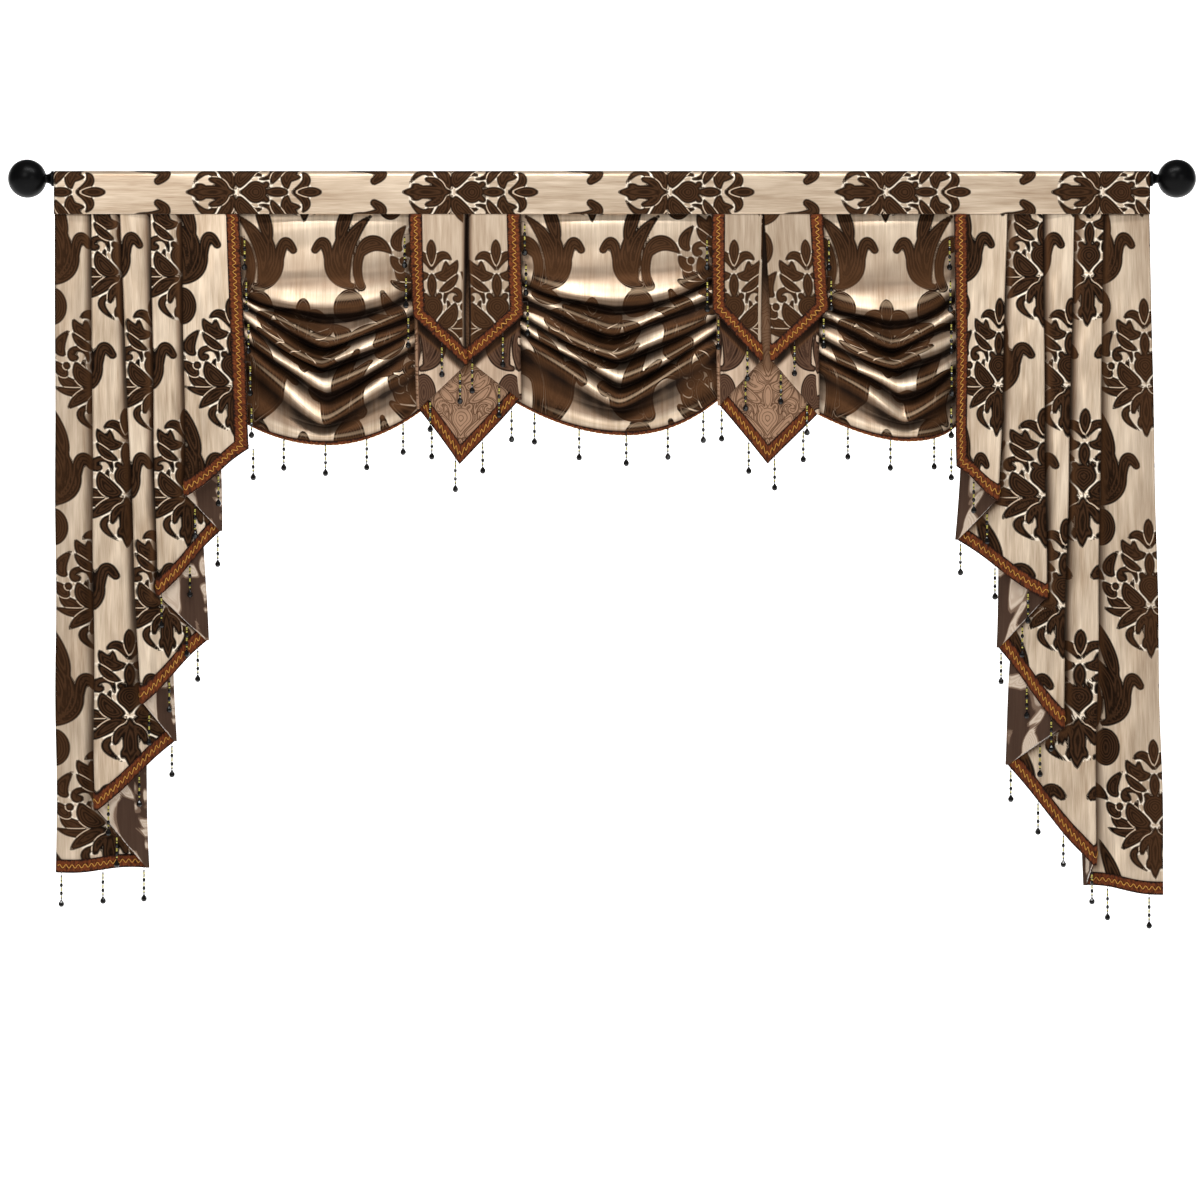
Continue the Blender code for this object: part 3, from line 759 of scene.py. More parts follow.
swag_w = np.concatenate(
    [
        np.linspace(0.0, 1.0, SWAG_TOP_ROWS, endpoint=False),
        np.linspace(1.0, 6.0, 5 * SWAG_FOLD_ROWS, endpoint=False),
        np.linspace(6.0, 7.0, HEM_TURN_ROWS),
    ]
)
swag_u = across_swag(SWAG_COLUMNS)
swags = {}
swag_cloths = {}
for name in SWAG_LINES:
    swag = Swag(name)
    swags[name] = swag
    points = swag.point(swag_u[None, :], swag_w[:, None])
    steps = np.linalg.norm(np.diff(points, axis=0), axis=2)
    travel = np.concatenate([np.zeros((1, SWAG_COLUMNS)), np.cumsum(steps, axis=0)])
    middle_travel = travel[:, SWAG_COLUMNS // 2][:, None]
    gathered = np.maximum(middle_travel - middle_travel[SWAG_TOP_ROWS], 0.0)
    down = np.where(swag_w[:, None] <= 1.0, travel, travel[SWAG_TOP_ROWS][None, :] + gathered)
    spread = points[:, :, 0] * 1000.0 - SWAG_AXES[name]
    # Painted shade across each swag: bronze and then near black towards the valleys between folds, a painted
    # highlight just above each crest, painted shade over the upper part and at the sides, and less of it
    # towards the hem's sides
    off_crest = np.abs((swag_w + CREST_LIGHT_ABOVE + 0.5) % 1.0 - 0.5)
    folded = smooth((swag_w - FOLDS_START) / FOLDS_REACH)
    black = smooth((off_crest - BLACK_START) / BLACK_REACH)
    painted_shade_and_highlight = BRONZE_SHADE * smooth(off_crest / BRONZE_REACH) + (1.0 - BRONZE_SHADE) * black
    painted_shade_and_highlight = painted_shade_and_highlight - CREST_LIGHT * (1.0 - smooth(off_crest / CREST_LIGHT_REACH))
    painted_shade_and_highlight = painted_shade_and_highlight * folded + UPPER_SHADE * smooth(swag_w) * (1.0 - folded)
    hem_light = smooth((swag_w - HEM_LIGHT_START) / HEM_LIGHT_REACH)[:, None] * np.abs(swag_u[None, :])
    painted_shade_and_highlight = painted_shade_and_highlight[:, None] * (1.0 - HEM_LIGHT * hem_light)
    shade = 1.0 - (1.0 - painted_shade_and_highlight) * (1.0 - SIDE_SHADE * swag_u[None, :] ** 6)
    # The quiet colouring in the folds is painted shade as well
    tone = FOLD_SHADE_TONE * folded[:, None] * (1.0 - swag_u[None, :] ** 4)
    mesh = cloth_mesh(name + "_cloth", points, spread, -down * 1000.0 - SWAG_FLOWER_UP, tone, shade)
    cloth = sheet(name + "_cloth", mesh, face_damask, reverse_damask)
    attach(cloth, "root")
    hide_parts(name)
    swag_cloths[name] = cloth


# ------------------------------------------------------------------ tails and jabots
# Each tail is one panel laid in five knife pleats, its hem cut on a slant so that every pleat
# steps down. Each jabot is folded so that two flaps open over a pointed panel behind.

CELL = {"tail": 0.0045, "jabot": 0.0036}
ARC_STEPS = 6
RETURN_CELL = 0.0150
SHEET_ROWS = {"tail": 228, "jabot": 148}
# Painted shade on the tails: under the folds, fading below the hems that cover it, and near the outer edge
PLEAT_SHADE = 0.92
PLEAT_SHADE_REACH = 0.022
PLEAT_SHADE_DROP = 0.018
EDGE_SHADE = 0.20
BOW = 1.5
DIP = 0.0022
HEM_WAVE = 0.0028
LOOSE_FROM = -0.08
LOOSE_OVER = 0.12
JABOT_SHADE = 0.24
EDGE_SHADE_REACH = 0.09
LOW_PANEL_SHADE = 0.62
LOW_PANEL_FROM = -0.15
LOW_PANEL_OVER = 0.12
RETURN_UP = 63.0
SWAY = 0.0016
FLAP_SHADE = 0.90
FLAP_SHADE_REACH = 0.012
BRAID_SHADE_START = 0.012
# Painted shade beside a jabot's slit, standing in for flaps that turn in there: its width, and how dark it is
# on each jabot
SLIT_SHADE_WIDTH = 0.0035
SLIT_SHADES = {"jabot_left": 0.95, "jabot_right": 0.30}

# Depth of a tail's folds: height, front folds, back folds, fold radius, inner edge, outer edge
TAIL_DEPTHS = [
    (DRAPE_TOP, -0.0109, -0.0018, 0.0012, -0.0121, -0.0070),
    (-0.200, -0.0150, -0.0010, 0.0022, -0.0215, -0.0080),
    (-0.550, -0.0220, 0.0050, 0.0036, -0.0240, -0.0100),
    (-0.850, -0.0270, 0.0070, 0.0038, -0.0250, -0.0120),
    (-1.300, -0.0310, 0.0070, 0.0042, -0.0250, -0.0140),
]
# Depth of a jabot's layers: height, flap, return, back panel
JABOT_DEPTHS = [
    (DRAPE_TOP, -0.0121, -0.0093, -0.0063),
    (-0.190, -0.0212, -0.0176, -0.0112),
    (-0.530, -0.0222, -0.0186, -0.0122),
]
# Fold lines of each sheet, from its inner or left edge on, in millimetres:
# kind, x at the top, x at the hem, height of the hem there, the way the fold points
PLEATS = {
    "tail_left": [
        ("edge", -661, -641, -494, 0),
        ("front", -765, -757, -580, -1),
        ("back", -709, -694, -643, 1),
        ("front", -822, -809, -762, -1),
        ("back", -752, -720, -843, 1),
        ("front", -878, -839, -958, -1),
        ("back", -807, -778, -1027, 1),
        ("front", -930, -921, -1151, -1),
        ("back", -862, -827, -1258, 1),
        ("edge", -998, -994, -1265, 0),
    ],
    "tail_right": [
        ("edge", 641, 645, -526, 0),
        ("front", 738, 722, -588, 1),
        ("back", 681, 646, -659, -1),
        ("front", 802, 808, -768, 1),
        ("back", 745, 720, -856, -1),
        ("front", 860, 837, -1003, 1),
        ("back", 792, 736, -1070, -1),
        ("front", 913, 895, -1251, 1),
        ("back", 858, 879, -1290, -1),
        ("edge", 998, 1024, -1306, 0),
    ],
    "jabot_left": [
        ("edge", -352, -345, -254, 0),
        ("centre", -248, -248, -342, 1),
        ("outer", -347, -336, -422, -1),
        ("tip", -250, -258, -522, 0),
        ("outer", -148, -148, -404, 1),
        ("centre", -244, -241, -335, -1),
        ("edge", -150, -142, -250, 0),
    ],
    "jabot_right": [
        ("edge", 200, 200, -242, 0),
        ("centre", 292, 289, -335, 1),
        ("outer", 205, 212, -415, -1),
        ("tip", 300, 303, -521, 0),
        ("outer", 398, 394, -431, 1),
        ("centre", 296, 310, -335, -1),
        ("edge", 402, 413, -241, 0),
    ],
}
# On each visible panel, from the first edge on: x of a flower's mirror line at the top of the
# drape, in millimetres
FLOWER_AXES = {
    "tail_left": [-683, -768, -826, -876, -917],
    "tail_right": [730, 802, 858, 889, 984],
    "jabot_left": [-312, -250, -195],
    "jabot_right": [241, 300, 367],
}
# Height of a flower's crossing in the columns that aren't dropped
FLOWER_Z = {"tail": -376.0, "jabot": -270.0}


class PleatedSheet:
    """A sheet hung in flat panels joined by round folds. Columns are (station, kind, share)."""

    def __init__(self, name):
        self.rows = PLEATS[name]
        self.slit_shade = SLIT_SHADES.get(name, 0.0)
        self.kind = name.split("_")[0]
        self.drop = SHEET_ROWS[self.kind]
        self.last = len(self.rows) - 1
        self.way = 1.0 if self.rows[-1][1] > self.rows[0][1] else -1.0
        self.columns = []
        for k, row in enumerate(self.rows):
            if row[4]:
                self.columns += [(k, "fold", step / ARC_STEPS) for step in range(ARC_STEPS + 1)]
            else:
                self.columns.append((k, "fold", 0.5))
            if k == self.last:
                continue
            cell = RETURN_CELL if self.kind == "tail" and k % 2 else CELL[self.kind]
            count = int(self.panel_width(k) / cell) + 1
            self.columns += [(k, "panel", step / count) for step in range(1, count)]

    def panel_width(self, k):
        return abs(self.rows[k][1] - self.rows[k + 1][1]) * MM

    def line_x(self, k, z):
        row = self.rows[k]
        down = (z - DRAPE_TOP) / (row[3] * MM - DRAPE_TOP)
        return lerp(row[1], row[2], down) * MM + SWAY * down * np.sin(z * 17.0 + 2.3 * k)

    def depths(self, k, z):
        """The depth at which the sheet arrives at a line and the depth at which it leaves."""
        if self.kind == "jabot":
            layers = [eased(JABOT_DEPTHS, z, column) for column in (1, 2, 3)]
            arrive = layers[(0, 0, 1, 2, 2, 1, 0)[k]]
            leave = layers[(0, 1, 2, 2, 1, 0, 0)[k]]
            return arrive, leave
        if k == 0 or k == self.last:
            edge = eased(TAIL_DEPTHS, z, 4 if k == 0 else 5)
            return edge, edge
        middle = eased(TAIL_DEPTHS, z, 1 if self.rows[k][0] == "front" else 2)
        radius = eased(TAIL_DEPTHS, z, 3)
        return middle - radius, middle + radius

    def corner(self, k, z, turn):
        """A place on a fold; turn runs from 0 where the sheet arrives to 1 where it leaves."""
        arrive, leave = self.depths(k, z)
        radius = np.abs(leave - arrive) / 2
        angle = math.pi * (turn - 0.5)
        x = self.line_x(k, z) + self.rows[k][4] * radius * (math.cos(angle) - 1.0)
        return np.stack(np.broadcast_arrays(x, lerp(arrive, leave, (1.0 + math.sin(angle)) / 2), z), axis=-1)

    def point(self, column, z):
        k, kind, share = self.columns[column]
        z = np.asarray(z, dtype=float)
        if kind == "fold":
            return self.corner(k, z, share)
        flat = lerp(self.corner(k, z, 1.0), self.corner(k + 1, z, 0.0), share)
        if self.kind == "tail" and k % 2 == 0:
            whole = np.abs(self.line_x(k + 1, z) - self.line_x(k, z))
            under = np.abs(self.line_x(k - 1, z) - self.line_x(k, z)) if k else 0.0
            seen = np.clip((share * whole - under) / (whole - under), 0.0, 1.0)
            ripple = 0.5 + 0.35 * np.sin(z * 23.0 + 9.0 * share + 1.7 * k)
            ripple += 0.2 * np.sin(z * 61.0 - 14.0 * share)
            freed = smooth((LOOSE_FROM - z) / LOOSE_OVER)
            swell = np.sin(math.pi * seen) ** 2 * freed
            flat[..., 1] -= BOW * eased(TAIL_DEPTHS, z, 3) * swell * ripple
            if k:
                flat[..., 1] += DIP * math.sin(math.pi * share) ** 2 * freed
        return flat

    def hem(self, column):
        k, kind, share = self.columns[column]
        if kind == "fold":
            return self.rows[k][3] * MM
        loose = HEM_WAVE if self.kind == "tail" and k % 2 == 0 else 0.0
        cut = lerp(self.rows[k][3], self.rows[k + 1][3], share) * MM
        return cut + loose * math.sin(2.0 * math.pi * share)

    def heights(self, column):
        return np.linspace(DRAPE_TOP, self.hem(column), self.drop + 1)

    def points(self):
        return np.stack([self.point(c, self.heights(c)) for c in range(len(self.columns))], axis=1)

    def face(self, column, z):
        """The way the face of the cloth looks, level, at a place on the sheet."""
        before = self.point(max(column - 1, 0), z)
        after = self.point(min(column + 1, len(self.columns) - 1), z)
        run = after - before
        level = Vector((run[1], -run[0], 0.0)).normalized()
        return np.array(level) * self.way

    def shade(self, points):
        """Painted shade: all over a jabot, deeper below its flaps and beside its slit; on a tail, where a
        panel runs under a fold and near its outer edge.
        """
        shade = np.zeros(points.shape[:2])
        if self.kind == "jabot":
            flaps = sorted((self.rows[k][2] * MM, self.rows[k][3] * MM) for k in (0, 1, 5, 6))
            # Painted shade over the whole jabot, deeper below its flaps
            shade += JABOT_SHADE
            for c, (k, kind, _) in enumerate(self.columns):
                if 1 <= k <= 4 and (k, kind) != (1, "fold"):
                    hem = np.interp(points[:, c, 0], [flap[0] for flap in flaps], [flap[1] for flap in flaps])
                    below = hem - points[:, c, 2]
                    shade[:, c] = FLAP_SHADE * (1.0 - smooth((below - BRAID_SHADE_START) / FLAP_SHADE_REACH))
                    if k in (2, 3):
                        low = smooth((LOW_PANEL_FROM - points[:, c, 2]) / LOW_PANEL_OVER)
                        shade[:, c] *= lerp(1.0, LOW_PANEL_SHADE, low)
                if k in (0, 5) or (k, kind) == (1, "fold"):
                    centre = self.line_x(1 if k < 5 else 5, points[:, c, 2])
                    from_slit = np.abs(points[:, c, 0] - centre)
                    slit_darkening = self.slit_shade * (1.0 - smooth((from_slit - SLIT_SHADE_WIDTH) / SLIT_SHADE_WIDTH))
                    shade[:, c] = np.maximum(shade[:, c], slit_darkening)
            return shade
        for c, (k, kind, _) in enumerate(self.columns):
            if k % 2 or k == 0 or kind == "fold":
                continue
            x, z = points[:, c, 0], points[:, c, 2]
            past = (x - self.line_x(k - 1, z)) * self.way
            ends = sorted((self.rows[n][2] * MM, self.rows[n][3] * MM) for n in (k - 1, k))
            cover = np.interp(x, [end[0] for end in ends], [end[1] for end in ends])
            covered = 1.0 - smooth((cover - z) / PLEAT_SHADE_DROP)
            shade[:, c] = PLEAT_SHADE * (1.0 - smooth(past / PLEAT_SHADE_REACH)) * covered
            if k == self.last - 1:
                to_edge = np.abs(self.line_x(self.last, z) - x)
                shade[:, c] = np.maximum(shade[:, c], EDGE_SHADE * (1.0 - smooth(to_edge / EDGE_SHADE_REACH)))
        return shade

    def design_places(self, name, points):
        """Where each vertex lies on the flat cloth, in millimetres from a flower's crossing."""
        axes = FLOWER_AXES[name]
        across = np.zeros(points.shape[:2])
        top_x = points[0, :, 0] * 1000.0
        for c, (k, kind, share) in enumerate(self.columns):
            if self.kind == "tail":
                across[:, c] = self.tail_place(axes, k, kind, share, top_x[c])
            else:
                across[:, c] = self.jabot_place(axes, k, top_x[c])
        up = points[:, :, 2] * 1000.0 - FLOWER_Z[self.kind]
        if self.kind == "jabot":
            behind = [c for c, (k, kind, _) in enumerate(self.columns) if k in (1, 4) and kind == "panel"]
            up[:, behind] += RETURN_UP
        return across * self.way, up

    def tail_place(self, axes, k, kind, share, x):
        panel = k // 2
        if k % 2 == 0 or kind == "fold":
            return (x - axes[panel]) * self.way + panel * COLUMN
        first = (self.rows[k][1] - axes[panel]) * self.way + panel * COLUMN
        second = (self.rows[k + 1][1] - axes[panel + 1]) * self.way + (panel + 1) * COLUMN
        return lerp(first, second, share)

    def jabot_place(self, axes, k, x):
        panel = (0, 1, 1, 1, 1, 2, 2)[k]
        return x - axes[panel] + panel * COLUMN


pleated = {}
pleated_cloths = {}
for name in PLEATS:
    panels = PleatedSheet(name)
    pleated[name] = panels
    points = panels.points()
    across, up = panels.design_places(name, points)
    tone = np.zeros(points.shape[:2])
    for c, (k, kind, _) in enumerate(panels.columns):
        # A jabot's back panel takes the quiet, darker colouring as painted shade; a tail's return takes it on
        # its last row only, as the pale edge of its hem
        if panels.kind == "jabot" and k in (2, 3):
            tone[:, c] = 1.0
        elif panels.kind == "tail" and k % 2 and kind == "panel":
            tone[-1, c] = 1.0
    mesh = cloth_mesh(name + "_cloth", points, across, up, tone, panels.shade(points), panels.way < 0)
    behind = lining_damask if panels.kind == "jabot" else reverse_damask
    cloth = sheet(name + "_cloth", mesh, face_damask, behind)
    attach(cloth, "root")
    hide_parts(name)
    pleated_cloths[name] = cloth


# ------------------------------------------------------------------ braid
# A chenille braid, 24 mm wide and red-brown, sewn flat along every hem and free edge. A gold cord
# is worked down its middle in a zigzag.

BRAID_WIDTH = 0.024
BRAID_THICKNESS = 0.0014
BRAID_LIFT = CLOTH / 2 + 0.0003 + BRAID_THICKNESS / 2
BRAID_CROWN = 0.0009
BRAID_ACROSS = 8
TRIM_TOP = LIP_Z - 0.0005
ZIGZAG_PERIOD = 0.0115
ZIGZAG_REACH = 0.13
ZIGZAG_CORD = 0.00075
CORD_SIDES = 6
CHENILLE = (124, 62, 30)
CHENILLE_DEEP = (30, 14, 8)
GOLD_CORD = (214, 160, 62)
GOLD_CORD_DEEP = (150, 98, 30)


def growth(name, inputs, build):
    """A Geometry Nodes tree with named inputs. It ends in Realize Instances and Set Material."""
    tree = bpy.data.node_groups.new(name, "GeometryNodeTree")
    for title, kind in inputs:
        tree.interface.new_socket(name=title, in_out="INPUT", socket_type="NodeSocket" + kind)
    tree.interface.new_socket(name="Geometry", in_out="OUTPUT", socket_type="NodeSocketGeometry")
    board = Board(tree)

    def given(title):
        return board.add("NodeGroupInput", None, None, title)

    grown = build(board, given)
    real = board.add("GeometryNodeRealizeInstances", None, {"Geometry": grown})
    done = board.add("GeometryNodeSetMaterial", None, {"Geometry": real, "Material": given("Finish")})
    board.add("NodeGroupOutput", None, {"Geometry": done}, None)
    return tree


def grow(piece, tree, values):
    """Runs a tree on a piece with its inputs set, and keeps the result as a plain mesh."""
    nodes = piece.modifiers.new(tree.name, "NODES")
    nodes.node_group = tree
    for item in tree.interface.items_tree:
        if item.in_out == "INPUT" and item.name in values:
            nodes[item.identifier] = values[item.name]
    plain_mesh(piece)
    piece.data.shade_smooth()
    return piece


def build_cord(board, given):
    path = board.add("GeometryNodeMeshToCurve", None, {"Mesh": given("Geometry")})
    sizes = {"Resolution": given("Sides"), "Radius": given("Radius")}
    ring = board.add("GeometryNodeCurvePrimitiveCircle", None, sizes)
    cord = {"Curve": path, "Profile Curve": ring, "Fill Caps": True}
    return board.add("GeometryNodeCurveToMesh", None, cord)


cord_tree = growth(
    "cord along a line",
    [("Geometry", "Geometry"), ("Radius", "Float"), ("Sides", "Int"), ("Finish", "Material")],
    build_cord,
)


def lines(name, chains):
    """An object of bare edges, one chain of them for each list of places."""
    places = [place for chain in chains for place in chain]
    edges = []
    start = 0
    for chain in chains:
        edges += [(start + k, start + k + 1) for k in range(len(chain) - 1)]
        start += len(chain)
    mesh = bpy.data.meshes.new(name)
    mesh.from_pydata([tuple(place) for place in places], edges, [])
    return show(name, mesh)


def chenille_pile():
    """Short cut pile in rows across the braid, with painted shade in the hollows between the tufts, and
    darker along both edges.
    """
    made, board, shader = finish(
        "chenille", Sheen_Weight=0.15, Sheen_Roughness=0.4, Specular_IOR_Level=0.1
    )
    shader.inputs["Sheen Tint"].default_value = srgb(190, 110, 60)
    along = board.add("ShaderNodeUVMap", {"uv_map": "weave"})
    rows = board.stretch(along, 300.0, 190.0)
    tufts = board.add("ShaderNodeTexVoronoi", None, {"Vector": rows, "Scale": 1.0}, "Distance")
    fuzz = board.noise(along, 260.0, 4.0)
    # Darker in the hollows between the tufts, as painted shade, and along both edges of the braid
    depth = tufts * 0.9 + fuzz * 0.5 - 0.2
    place = board.add("ShaderNodeSeparateXYZ", None, {"Vector": along}, "Y")
    edge = ((place / BRAID_WIDTH - 0.5).size() - 0.33) * 4.0
    depth = depth + edge.high(0.0)
    colour = board.blend(depth.low(1.0).high(0.0), srgb(*CHENILLE), srgb(*CHENILLE_DEEP))
    surface(board, shader, colour, fuzz * 0.1 + 0.75, 1.0 - tufts + fuzz * 0.4, 0.7, 0.0012)
    return made


def twisted_gold():
    """A lustrous rayon cord, its two plies showing as fine slanting bands."""
    made, board, shader = finish("gold cord", Metallic=0.35, Specular_IOR_Level=0.6)
    place = board.add("ShaderNodeTexCoord", None, None, "Object")
    plies = board.noise(place, 900.0, 2.0)
    colour = board.blend(plies, srgb(*GOLD_CORD_DEEP), srgb(*GOLD_CORD))
    surface(board, shader, colour, plies * 0.2 + 0.3, plies, 0.4, 0.0004)
    return made


chenille = chenille_pile()
gold_cord = twisted_gold()


class Braid:
    """A strip laid on the cloth: places along it and across it, and the way its face looks."""

    def __init__(self, name, base, way):
        self.name = name
        self.base = base
        self.way = way
        runs = np.linalg.norm(np.diff(base[:, BRAID_ACROSS // 2], axis=0), axis=1)
        self.travel = np.concatenate([[0.0], np.cumsum(runs)])
        self.share = np.linspace(0.0, 1.0, base.shape[1])

    def at(self, travel, share, lift):
        """A place that far along, at a share of the way across, and that much off the cloth."""
        i = min(max(int(np.searchsorted(self.travel, travel)) - 1, 0), len(self.travel) - 2)
        s = (travel - self.travel[i]) / max(self.travel[i + 1] - self.travel[i], 0.00001)
        j = min(int(share * BRAID_ACROSS), BRAID_ACROSS - 1)
        t = share * BRAID_ACROSS - j
        found = []
        for grid in (self.base, self.way):
            near = lerp(grid[i, j], grid[i, j + 1], t)
            far = lerp(grid[i + 1, j], grid[i + 1, j + 1], t)
            found.append(lerp(near, far, s))
        return found[0] + found[1] * lift

    def strip(self):
        crown = BRAID_CROWN * (1.0 - (2.0 * self.share - 1.0) ** 2)
        points = self.base + self.way * (BRAID_LIFT + crown)[None, :, None]
        rows, columns = points.shape[:2]
        mesh = bpy.data.meshes.new(self.name)
        corner = quad_starts(rows, columns)
        quads = np.stack([corner, corner + 1, corner + columns + 1, corner + columns], axis=1)
        first = quads[0]
        a, b, c = (points.reshape(-1, 3)[first[k]] for k in range(3))
        if np.dot(np.cross(b - a, c - a), self.way[0, 0]) < 0:
            quads = quads[:, ::-1]
        mesh.from_pydata(points.reshape(-1, 3).tolist(), [], quads.tolist())
        weave = mesh.uv_layers.new(name="weave")
        flat = np.stack(np.broadcast_arrays(self.travel[:, None], self.share * BRAID_WIDTH), axis=-1)
        weave.data.foreach_set("uv", flat.reshape(-1, 2)[quads.ravel()].ravel())
        mesh.shade_smooth()
        made = show(self.name, mesh, chenille)
        wall = made.modifiers.new("Thickness", "SOLIDIFY")
        wall.thickness = BRAID_THICKNESS
        wall.offset = 0.0
        return plain_mesh(made)

    def zigzag(self):
        steps = int(self.travel[-1] / ZIGZAG_PERIOD * 8)
        lift = BRAID_LIFT + BRAID_THICKNESS / 2 + BRAID_CROWN + ZIGZAG_CORD * 0.4
        chain = []
        for step in range(2, steps - 1):
            phase = step / 8 % 1.0
            swing = ZIGZAG_REACH * math.sin(2.0 * math.pi * phase)
            chain.append(self.at(step * ZIGZAG_PERIOD / 8, 0.5 + swing, lift))
        cord = lines(self.name + "_zigzag", [chain])
        return grow(cord, cord_tree, {"Radius": ZIGZAG_CORD, "Sides": CORD_SIDES, "Finish": gold_cord})


def swag_braid(name, swag):
    """Braid on the hem's face as it rolls under, from behind the hem up to its front."""
    u = across_swag(SWAG_COLUMNS)[:, None]
    w = np.linspace(7.0, 6.15, BRAID_ACROSS + 1)[None, :]
    nudge = 0.01
    beside = swag.point(np.minimum(u + nudge, 1.0), w) - swag.point(np.maximum(u - nudge, -1.0), w)
    below = swag.point(u, np.minimum(w + nudge, 7.0)) - swag.point(u, np.maximum(w - nudge, 0.0))
    way = -np.cross(beside, below)
    way /= np.linalg.norm(way, axis=2)[:, :, None]
    return Braid("braid_" + name, swag.point(u, w), way)


def pleated_braid(name, panels):
    """Braid down the free edge or edges and along the stepped hem, with mitred corners."""
    last = len(panels.columns) - 1
    both = panels.kind == "jabot"

    def between(column, z):
        low = min(int(column), last - 1)
        return lerp(panels.point(low, z), panels.point(low + 1, z), column - low)

    def rise(first):
        here, there = panels.rows[first], panels.rows[first + 1]
        run = max(abs(there[2] - here[2]) * MM, BRAID_WIDTH)
        return BRAID_WIDTH * math.hypot(1.0, (there[3] - here[3]) * MM / run)

    def band(column):
        k, kind, share = panels.columns[column]
        if kind == "panel":
            return rise(k)
        if k in (0, panels.last):
            return rise(min(k, panels.last - 1))
        return lerp(rise(k - 1), rise(k), share)

    def inset(columns):
        """The place among the columns that lies the braid's width in from the first of them."""
        start = panels.point(columns[0], TRIM_TOP)
        for here, after in zip(columns, columns[1:]):
            near = np.linalg.norm(panels.point(here, TRIM_TOP) - start)
            far = np.linalg.norm(panels.point(after, TRIM_TOP) - start)
            if far >= BRAID_WIDTH:
                return lerp(here, after, (BRAID_WIDTH - near) / (far - near))
        return columns[-1]

    def hem_at(column):
        low = min(int(column), last - 1)
        return lerp(panels.hem(low), panels.hem(low + 1), column - low)

    def edge(outer, columns):
        inner = inset(columns)
        low = hem_at(inner) + band(outer)
        count = int((TRIM_TOP - panels.hem(outer)) / CELL["tail"])
        pairs = []
        for step in range(count + 1):
            share = step / count
            outer_place = (outer, lerp(TRIM_TOP, panels.hem(outer), share))
            pairs.append((outer_place, (inner, lerp(TRIM_TOP, low, share)), "edge"))
        return pairs, inner

    first_pairs, first_inner = edge(0, list(range(0, last)))
    mitre_end = next(c for c, (k, kind, _) in enumerate(panels.columns) if k == 1)
    pairs = list(first_pairs)
    final = last
    if both:
        final_pairs, final_inner = edge(last, list(range(last, 0, -1)))
        turn = (panels.last - 1, "panel")
        mitre_start = next(c for c, (k, kind, _) in enumerate(panels.columns) if (k, kind) == turn)
        final = last - 1
    for column in range(1, final + 1):
        k, kind, _ = panels.columns[column]
        inner = float(column)
        if column < mitre_end:
            inner = lerp(first_inner, mitre_end, column / mitre_end)
        if both and column > mitre_start:
            inner = lerp(mitre_start, final_inner, (column - mitre_start) / (last - mitre_start))
        top = hem_at(inner) + band(column)
        pairs.append(((column, panels.hem(column)), (inner, top), kind))
    if both:
        pairs += final_pairs[::-1]

    base = np.zeros((len(pairs), BRAID_ACROSS + 1, 3))
    way = np.zeros_like(base)
    for i, ((outer, outer_z), (inner, inner_z), _) in enumerate(pairs):
        face = panels.face(outer, outer_z)
        for j in range(BRAID_ACROSS + 1):
            share = j / BRAID_ACROSS
            base[i, j] = between(lerp(outer, inner, share), lerp(outer_z, inner_z, share))
            way[i, j] = face
    made = Braid("braid_" + name, base, way)
    made.pairs = pairs
    return made


# ------------------------------------------------------------------ bead strands
# A strand hangs from the braid every 73 mm: a waxed thread strung with small gold beads and two
# black ovals, ending in a cut black drop.

STRAND_SPACING = 0.073
STRAND_FORWARD = 0.0040
STRAND_OUTWARD = 0.0085
RETURN_HANG = {"tail": 0.0042, "jabot": 0.0020}
THREAD_RADIUS = 0.00055
THREAD_DROP = 0.052
SWAG_STRAND_DROP = 0.004
STRAND_INSET = 0.003
SWAG_STRANDS = {
    "swag_left": (-0.48, -0.02, 0.42, 0.80),
    "swag_centre": (-0.82, -0.43, 0.0, 0.40, 0.76),
    "swag_right": (-0.66, -0.22, 0.40),
}

cut_glass = finish("cut glass", Base_Color=srgb(12, 10, 9), Roughness=0.12, Specular_IOR_Level=0.34)[0]
gold_glass = finish("gold glass", Base_Color=srgb(186, 176, 88), Roughness=0.25, Metallic=0.4)[0]
thread_wax = finish("waxed thread", Base_Color=srgb(52, 36, 26), Roughness=0.6)[0]

# Profiles of the beads: place up from the middle, radius
OVAL = [
    (-0.0040, 0.0),
    (-0.0034, 0.0017),
    (-0.0012, 0.0029),
    (0.0012, 0.0029),
    (0.0034, 0.0017),
    (0.0040, 0.0),
]
SEED = [(-0.0017, 0.0), (-0.0012, 0.0016), (0.0012, 0.0016), (0.0017, 0.0)]
DROP = [
    (-0.0066, 0.0),
    (-0.0058, 0.0031),
    (-0.0026, 0.0053),
    (0.0012, 0.0051),
    (0.0048, 0.0024),
    (0.0070, 0.0012),
    (0.0074, 0.0),
]
# Each kind of bead on a strand: profile, sides, finish, and how far down its beads hang
STRUNG = [
    ("oval_bead", OVAL, 8, cut_glass, (0.0225, 0.0375)),
    ("seed_bead", SEED, 6, gold_glass, (0.0090, 0.0120, 0.0165, 0.0285, 0.0315, 0.0435)),
    ("dark_seed_bead", SEED, 6, cut_glass, (0.0060, 0.0142, 0.0462)),
    ("cut_drop", DROP, 8, cut_glass, (0.0556,)),
]


def build_strung(board, given):
    spin = {"data_type": "FLOAT_VECTOR"}
    turns = {"Min": (0.0, 0.0, 0.0), "Max": (0.0, 0.0, 6.28), "Seed": 4}
    turn = board.add("FunctionNodeRandomValue", spin, turns)
    bead = board.add("GeometryNodeObjectInfo", None, {"Object": given("Bead")}, "Geometry")
    strung = {"Points": given("Geometry"), "Instance": bead, "Rotation": turn}
    return board.add("GeometryNodeInstanceOnPoints", None, strung)


